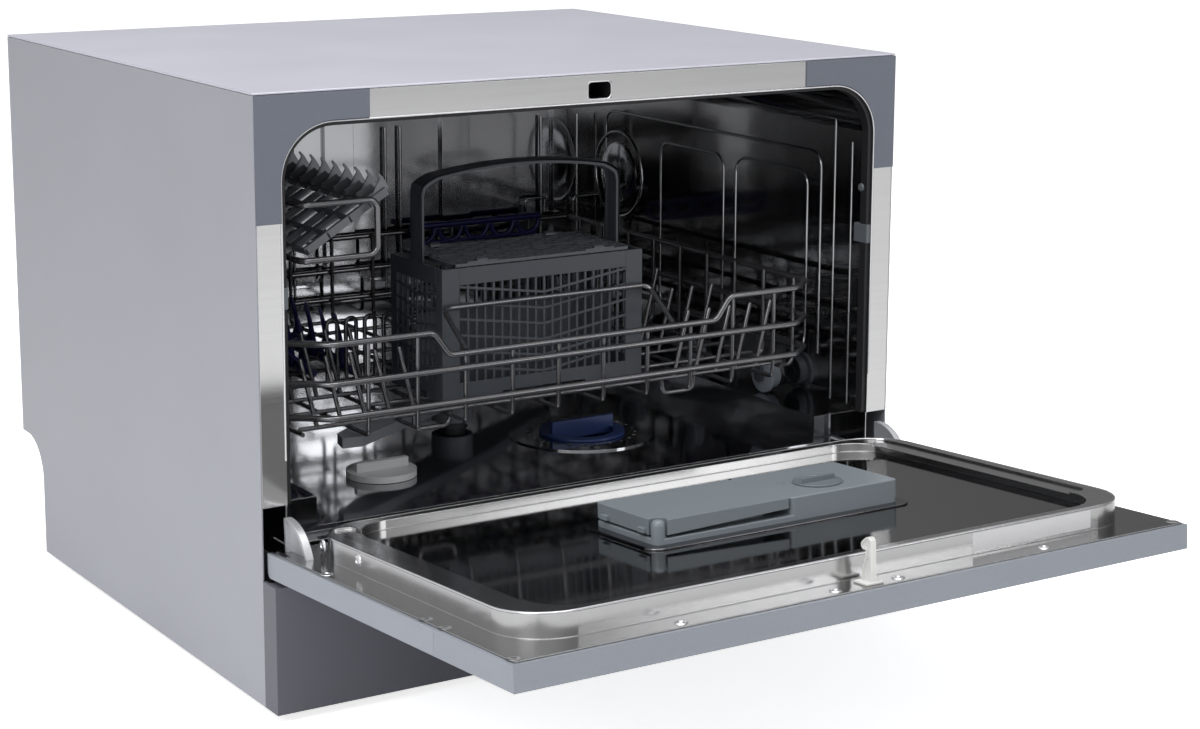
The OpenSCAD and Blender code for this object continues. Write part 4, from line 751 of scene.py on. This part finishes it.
# ---- Wheels and clips ----
# Grey moulded wheels with eight spokes and a wide flange on their inner side. Each turns on a hanger that is
# clipped under the bottom rail.
wheel_plastic = painted("wheel_plastic", (0.25, 0.28, 0.32), 0.3, ripple=0.00004, edge=0)
hanger_plastic = painted("hanger_plastic", (0.055, 0.06, 0.07), 0.35, edge=0)
axle_z, wheel_x, boss_x, hanger_inside, hanger_outside = 161, 232.7, 231.3, 229, 231.4
tread = [(6, 0), (13.6, 0), (14.7, 0.7), (15, 2), (15, 3.2), (14.6, 4.1), (13.1, 4.7), (12.3, 5.5), (12, 7),
         (11.7, 12), (11.4, 12.5), (10.4, 12.5), (10.1, 12.1), (10, 9.8), (3.8, 9.8), (3.7, 12.2),
         (3.3, 12.6), (1.8, 12.6), (1.6, 11)]
hanger = [(-3, 195.4), (-2.4, 172), (-5.2, 165), (-6, 161), (-4.4, 156.8), (0, 154.9), (4.4, 156.8), (6, 161),
          (5.2, 165), (2.4, 172), (3, 195.4)]
hangers = bmesh.new()
for row, y in enumerate((-153, -43, 50, 128), 1):
    wheels = bmesh.new()
    for side in (-1, 1):
        axle = facing(side * wheel_x, y, axle_z, 0)
        turned(wheels, [(r, side * h) for r, h in tread], axle, 36)
        for k in range(8):
            a = math.radians(45 * k + 10)
            ends = [(r * math.cos(a), r * math.sin(a)) for r in (3.3, 10.1)]
            bar(wheels, *ends, 1.5, side * 9.6, side * 12.1, axle)
        hanger_here = [(y + u, v) for u, v in hanger]
        prism(hangers, hanger_here, side * hanger_inside, side * hanger_outside, facing(0, 0, 0, 0))
        turned(hangers, [(5, 0), (4.6, side)], facing(side * boss_x, y, axle_z, 0), 20)
    body = "wheel_row_%d" % row
    settle(wheels, "basket_wheels_%d" % row, wheel_plastic, body, basket_place,
           stands_for=[body])
settle(hangers, "wheel_hangers", hanger_plastic, "basket", basket_place, 0.0004,
       ["axle_clips"])

# ---- Cutlery basket ----
# One moulding in grey polypropylene: solid corner posts and bands round a grid whose cross bars dip in the
# middle, two slotted lids hinged at the long edges, and a channel-shaped carrying handle.
cutlery_plastic = painted("cutlery_plastic", (0.062, 0.07, 0.083), 0.4, ripple=0.00004, edge=0)
cut_x, cut_y, cut_z = -93, -195, 186.45
cut_wide, cut_deep, cut_high, cut_wall, bar_wide = 178, 82, 102, 2, 1.9


def box_outline(left, low, right_end, high):
    """A rectangle's four corners."""
    return [(left, low), (right_end, low), (right_end, high), (left, high)]


def grid_wall(shape, start, length, columns, rows, place):
    """A window wall: posts at both ends, a band above and below, thin uprights and dipping cross bars."""
    post, band, foot, notch_high = 15 if length > 100 else 8, 13, 14, 4
    top_z = cut_z + cut_high
    inner, far = start + post, start + length - post
    low, high, middle = cut_z + foot, top_z - band, (inner + far) / 2
    for a in (start, far):
        prism(shape, box_outline(a, cut_z, a + post, top_z), 0, cut_wall, place)
    prism(shape, box_outline(inner, high, far, top_z), 0, cut_wall, place)
    notch = (far - inner) / 4
    foot_band = [(inner, cut_z), (inner + notch, cut_z), (inner + notch, cut_z + notch_high),
                 (far - notch, cut_z + notch_high), (far - notch, cut_z), (far, cut_z), (far, low),
                 (inner, low)]
    prism(shape, foot_band, 0, cut_wall, place)
    for k in range(1, columns):
        u = inner + (far - inner) * k / columns
        bar(shape, (u, low - 1), (u, high + 1), bar_wide, 0.2, 1.8, place)
    fall = 0.15 * (far - middle)
    for k in range(1, rows + 1):
        v = low + (high - low + fall) * k / (rows + 1)
        share = 1 - max(v - high, 0) / fall  # a bar that would rise past the band ends at it
        if share <= 0 or v - fall <= low:
            continue
        dip_at = (middle, v - fall)
        tips = [(middle + (end - middle) * share, v - fall + fall * share) for end in (inner, far)]
        for a, b in ((tips[0], dip_at), (dip_at, tips[1])):
            bar(shape, a, b, bar_wide, 0.1, 1.7, place)


walls = bmesh.new()
for depth in (cut_y, cut_y + cut_deep - cut_wall):
    grid_wall(walls, cut_x, cut_wide, 20, 6, facing(0, depth, 0, 1))
for depth in (cut_x, cut_x + cut_wide - cut_wall):
    grid_wall(walls, cut_y + cut_wall, cut_deep - 2 * cut_wall, 8, 6, facing(depth, 0, 0, 0))
for k in range(13):
    u = cut_x + 4 + (cut_wide - 8) * k / 12
    bar(walls, (u, cut_y + cut_wall), (u, cut_y + cut_deep - cut_wall), 3, cut_z, cut_z + 2)
for k in range(5):
    v = cut_y + 3.5 + (cut_deep - 7) * k / 4
    bar(walls, (cut_x + cut_wall, v), (cut_x + cut_wide - cut_wall, v), 3, cut_z, cut_z + 1.8)
divider = box_outline(cut_x + cut_wall, cut_z + 2, cut_x + cut_wide - cut_wall, cut_z + 62)
prism(walls, divider, 0, cut_wall, facing(0, cut_y + cut_deep / 2 - 1, 0, 1))
settle(walls, "cutlery_basket_shell", cutlery_plastic, "basket", basket_place, 0.0003,
       ["cutlery_basket"])

lid_plastic = painted("lid_plastic", (0.085, 0.095, 0.11), 0.34, ripple=0.00004, edge=0)


def cutlery_lid(name, low, high, hinge_at, stands_for):
    """A lid between two depths: a thin border, wavy long bars, short staggered bridges, and knuckles."""
    lid = bmesh.new()
    base, left, right_end = cut_z + cut_high + 0.5, -83, 75
    border, rows = 2.6, 5
    for v in (low + border / 2, high - border / 2):
        bar(lid, (left, v), (right_end, v), border, base, base + 2.5)
    for u in (left + border / 2, right_end - border / 2):
        bar(lid, (u, low), (u, high), border, base, base + 2.5)
    pitch = (high - low - 2 * border) / rows
    for row in range(rows):
        middle = low + border + pitch * row
        if row:
            phase = row * math.pi
            waves = [(left + 2 + 2.0 * k, middle + 1.1 * math.sin(k * 0.62 + phase)) for k in range(78)]
            outline = [(u, v - 0.9) for u, v in waves] + [(u, v + 0.9) for u, v in waves[::-1]]
            prism(lid, outline, base + 0.2, base + 2.3)
        for k in range(8):
            u = left + 8 + 20.3 * k + (10 if row % 2 else 0)
            if u < right_end - 3:
                bar(lid, (u, middle - 0.6), (u, middle + pitch + 0.6), 2.2, base + 0.2, base + 2.2)
    edge = low + border / 2 if hinge_at < 0 else high - border / 2
    axis = edge - 1.6 * hinge_at
    for u in (-57, 47):
        bar(lid, (u - 13, edge), (u + 13, edge), 2.2, base + 2.3, base + 3.6)
        hoop = []
        for back, rise, angles in ((2.7, 3.2, range(0, 181, 20)), (1.6, 2.1, range(180, -1, -20))):
            for a in angles:
                swept = math.radians(a)
                hoop.append((axis - back * math.cos(swept), base + 2.4 + rise * math.sin(swept)))
        prism(lid, hoop, u - 4.5, u + 4.5, facing(0, 0, 0, 0))
    settle(lid, name, lid_plastic, stands_for, basket_place, 0.00025, [stands_for])


cutlery_lid("front_lid_lattice", -193.5, -155, -1, "cutlery_lid_front")
cutlery_lid("back_lid_lattice", -153, -114.5, 1, "cutlery_lid_back")

handle_plastic = painted("handle_plastic", (0.062, 0.07, 0.082), 0.4, ripple=0.00004, edge=0)
arch_middle, arch_half, arch_foot = -4, 89, 288.45
outer_arch = [(-93, arch_foot), (-93, 342), (-91.5, 347.5), (-87, 350.6)]
outer_arch += [(arch_middle + x, 360.45 - 9 * (x / arch_half) ** 2) for x in range(-76, 77, 8)]
outer_arch += [(79, 350.6), (83.5, 347.5), (85, 342), (85, arch_foot)]


def inside(points, by):
    """The arch's line moved in by a wall: the legs sideways, the bow down, and the bends a share of both."""
    moved = []
    for u, v in points:
        drop = 1 if v > 346 else max((v - 300) / 50, 0)
        moved.append((arch_middle + (u - arch_middle) * (arch_half - by) / arch_half, v - by * drop))
    return moved


handle_deep, rim_deep = 16, 1.4
strip, rim = inside(outer_arch, 1.7), inside(outer_arch, 3.4)
handle_at = facing(0, cut_y + 33, 0, 1)
grip = bmesh.new()
prism(grip, outer_arch + strip[::-1], 0, handle_deep, handle_at)
for depth in (0, handle_deep - rim_deep):
    prism(grip, outer_arch + rim[::-1], depth, depth + rim_deep, handle_at)
settle(grip, "carrying_handle", handle_plastic, "basket", basket_place, 0.0004,
       ["cutlery_handle"])

# ---- Cup shelves ----
# Two glossy grey mouldings that hook round the frame's lower rail and slope up over the plates. A ribbed
# grid carries the cups, and a comb of upright blades with hollows between them holds stems.
shelf_plastic = painted("shelf_plastic", (0.15, 0.16, 0.178), 0.16, ripple=0.00003, edge=0)
comb_plastic = painted("comb_plastic", (0.21, 0.215, 0.235), 0.24, 0.25, ripple=0.00002, edge=0)
shelf_slope = math.radians(31)
shelf_long, shelf_reach, blade_pitch, blade_count = 176, 88, 18.4, 9


def arc(radius, angles):
    """Points on a circle at angles in degrees."""
    return [(radius * math.cos(math.radians(a)), radius * math.sin(math.radians(a))) for a in angles]


def cup_shelf(side_name, start):
    """One shelf and its comb, drawn flat from the hinge and then sloped about the rail."""
    shelf, comb = bmesh.new(), bmesh.new()
    last = blade_count - 1
    for v, wide in ((1.5, 3), (shelf_long - 4.5, 9)):
        bar(shelf, (9, v), (shelf_reach - 3, v), wide, -3, 3)
    for u in (10, 30, 50, 68):
        bar(shelf, (u, 0), (u, shelf_long), 1.8, -3, 2.4)
    for k in range(blade_count):
        v = 2.5 + blade_pitch * k
        if k:
            bar(shelf, (9, v), (70, v), 1.6, -3, 1.8)
        slat_wide = 17 if k == last else 9.5
        shift = 10.5 if k == last else 8 + (2.6 if k % 2 else 0)
        bar(shelf, (12, v + shift), (66, v + shift), slat_wide, -3.4, -2.2)
    tip = shelf_reach
    blade = [(64, -1), (tip - 2, -1), (tip, 1.5), (tip, 9.6), (tip - 1, 14), (tip - 2.4, 14), (tip - 2.4, 10),
             (tip - 8, 7.2), (tip - 15, 2.8), (64, 1.8)]
    for k in range(blade_count):
        v = 2.5 + blade_pitch * k
        prism(comb, blade, v - 0.7, v + 0.7, facing(0, 0, 0, 1))
        hollow_long = 23 if k == last else blade_pitch
        hollow = [(v + hollow_long * j / 8, 4.0 - 5.6 * math.sin(math.pi * j / 8)) for j in range(9)]
        band = [(a, b - 0.7) for a, b in hollow] + [(a, b + 0.7) for a, b in hollow[::-1]]
        prism(comb, band, 70, tip - 4, facing(0, 0, 0, 0))
    end_blade = [(tip - 3, -1), (tip, -1), (tip, 5), (tip - 1, 10), (tip - 2.4, 10)]
    prism(comb, end_blade, shelf_long - 3, shelf_long - 1.6, facing(0, 0, 0, 1))
    for v in (24, 72, 116, 160):
        hook_ring = arc(5.2, range(-40, 260, 20)) + arc(2.8, range(240, -60, -20))
        prism(shelf, hook_ring, v, v + 7, facing(0, 0, 0, 1))
        bar(shelf, (3.6, v + 3.5), (11, v + 3.5), 6, -2.6, 1.4)
    sloped = basket_place @ Matrix.Translation((-222, start, 312)) @ Matrix.Rotation(-shelf_slope, 4, "Y")
    body = "cup_shelf_" + side_name
    settle(shelf, side_name + "_shelf_moulding", shelf_plastic, body, sloped, 0.0003, [body])
    settle(comb, side_name + "_shelf_comb", comb_plastic, body, sloped, 0.0003)


cup_shelf("front", -217)
cup_shelf("rear", -30)
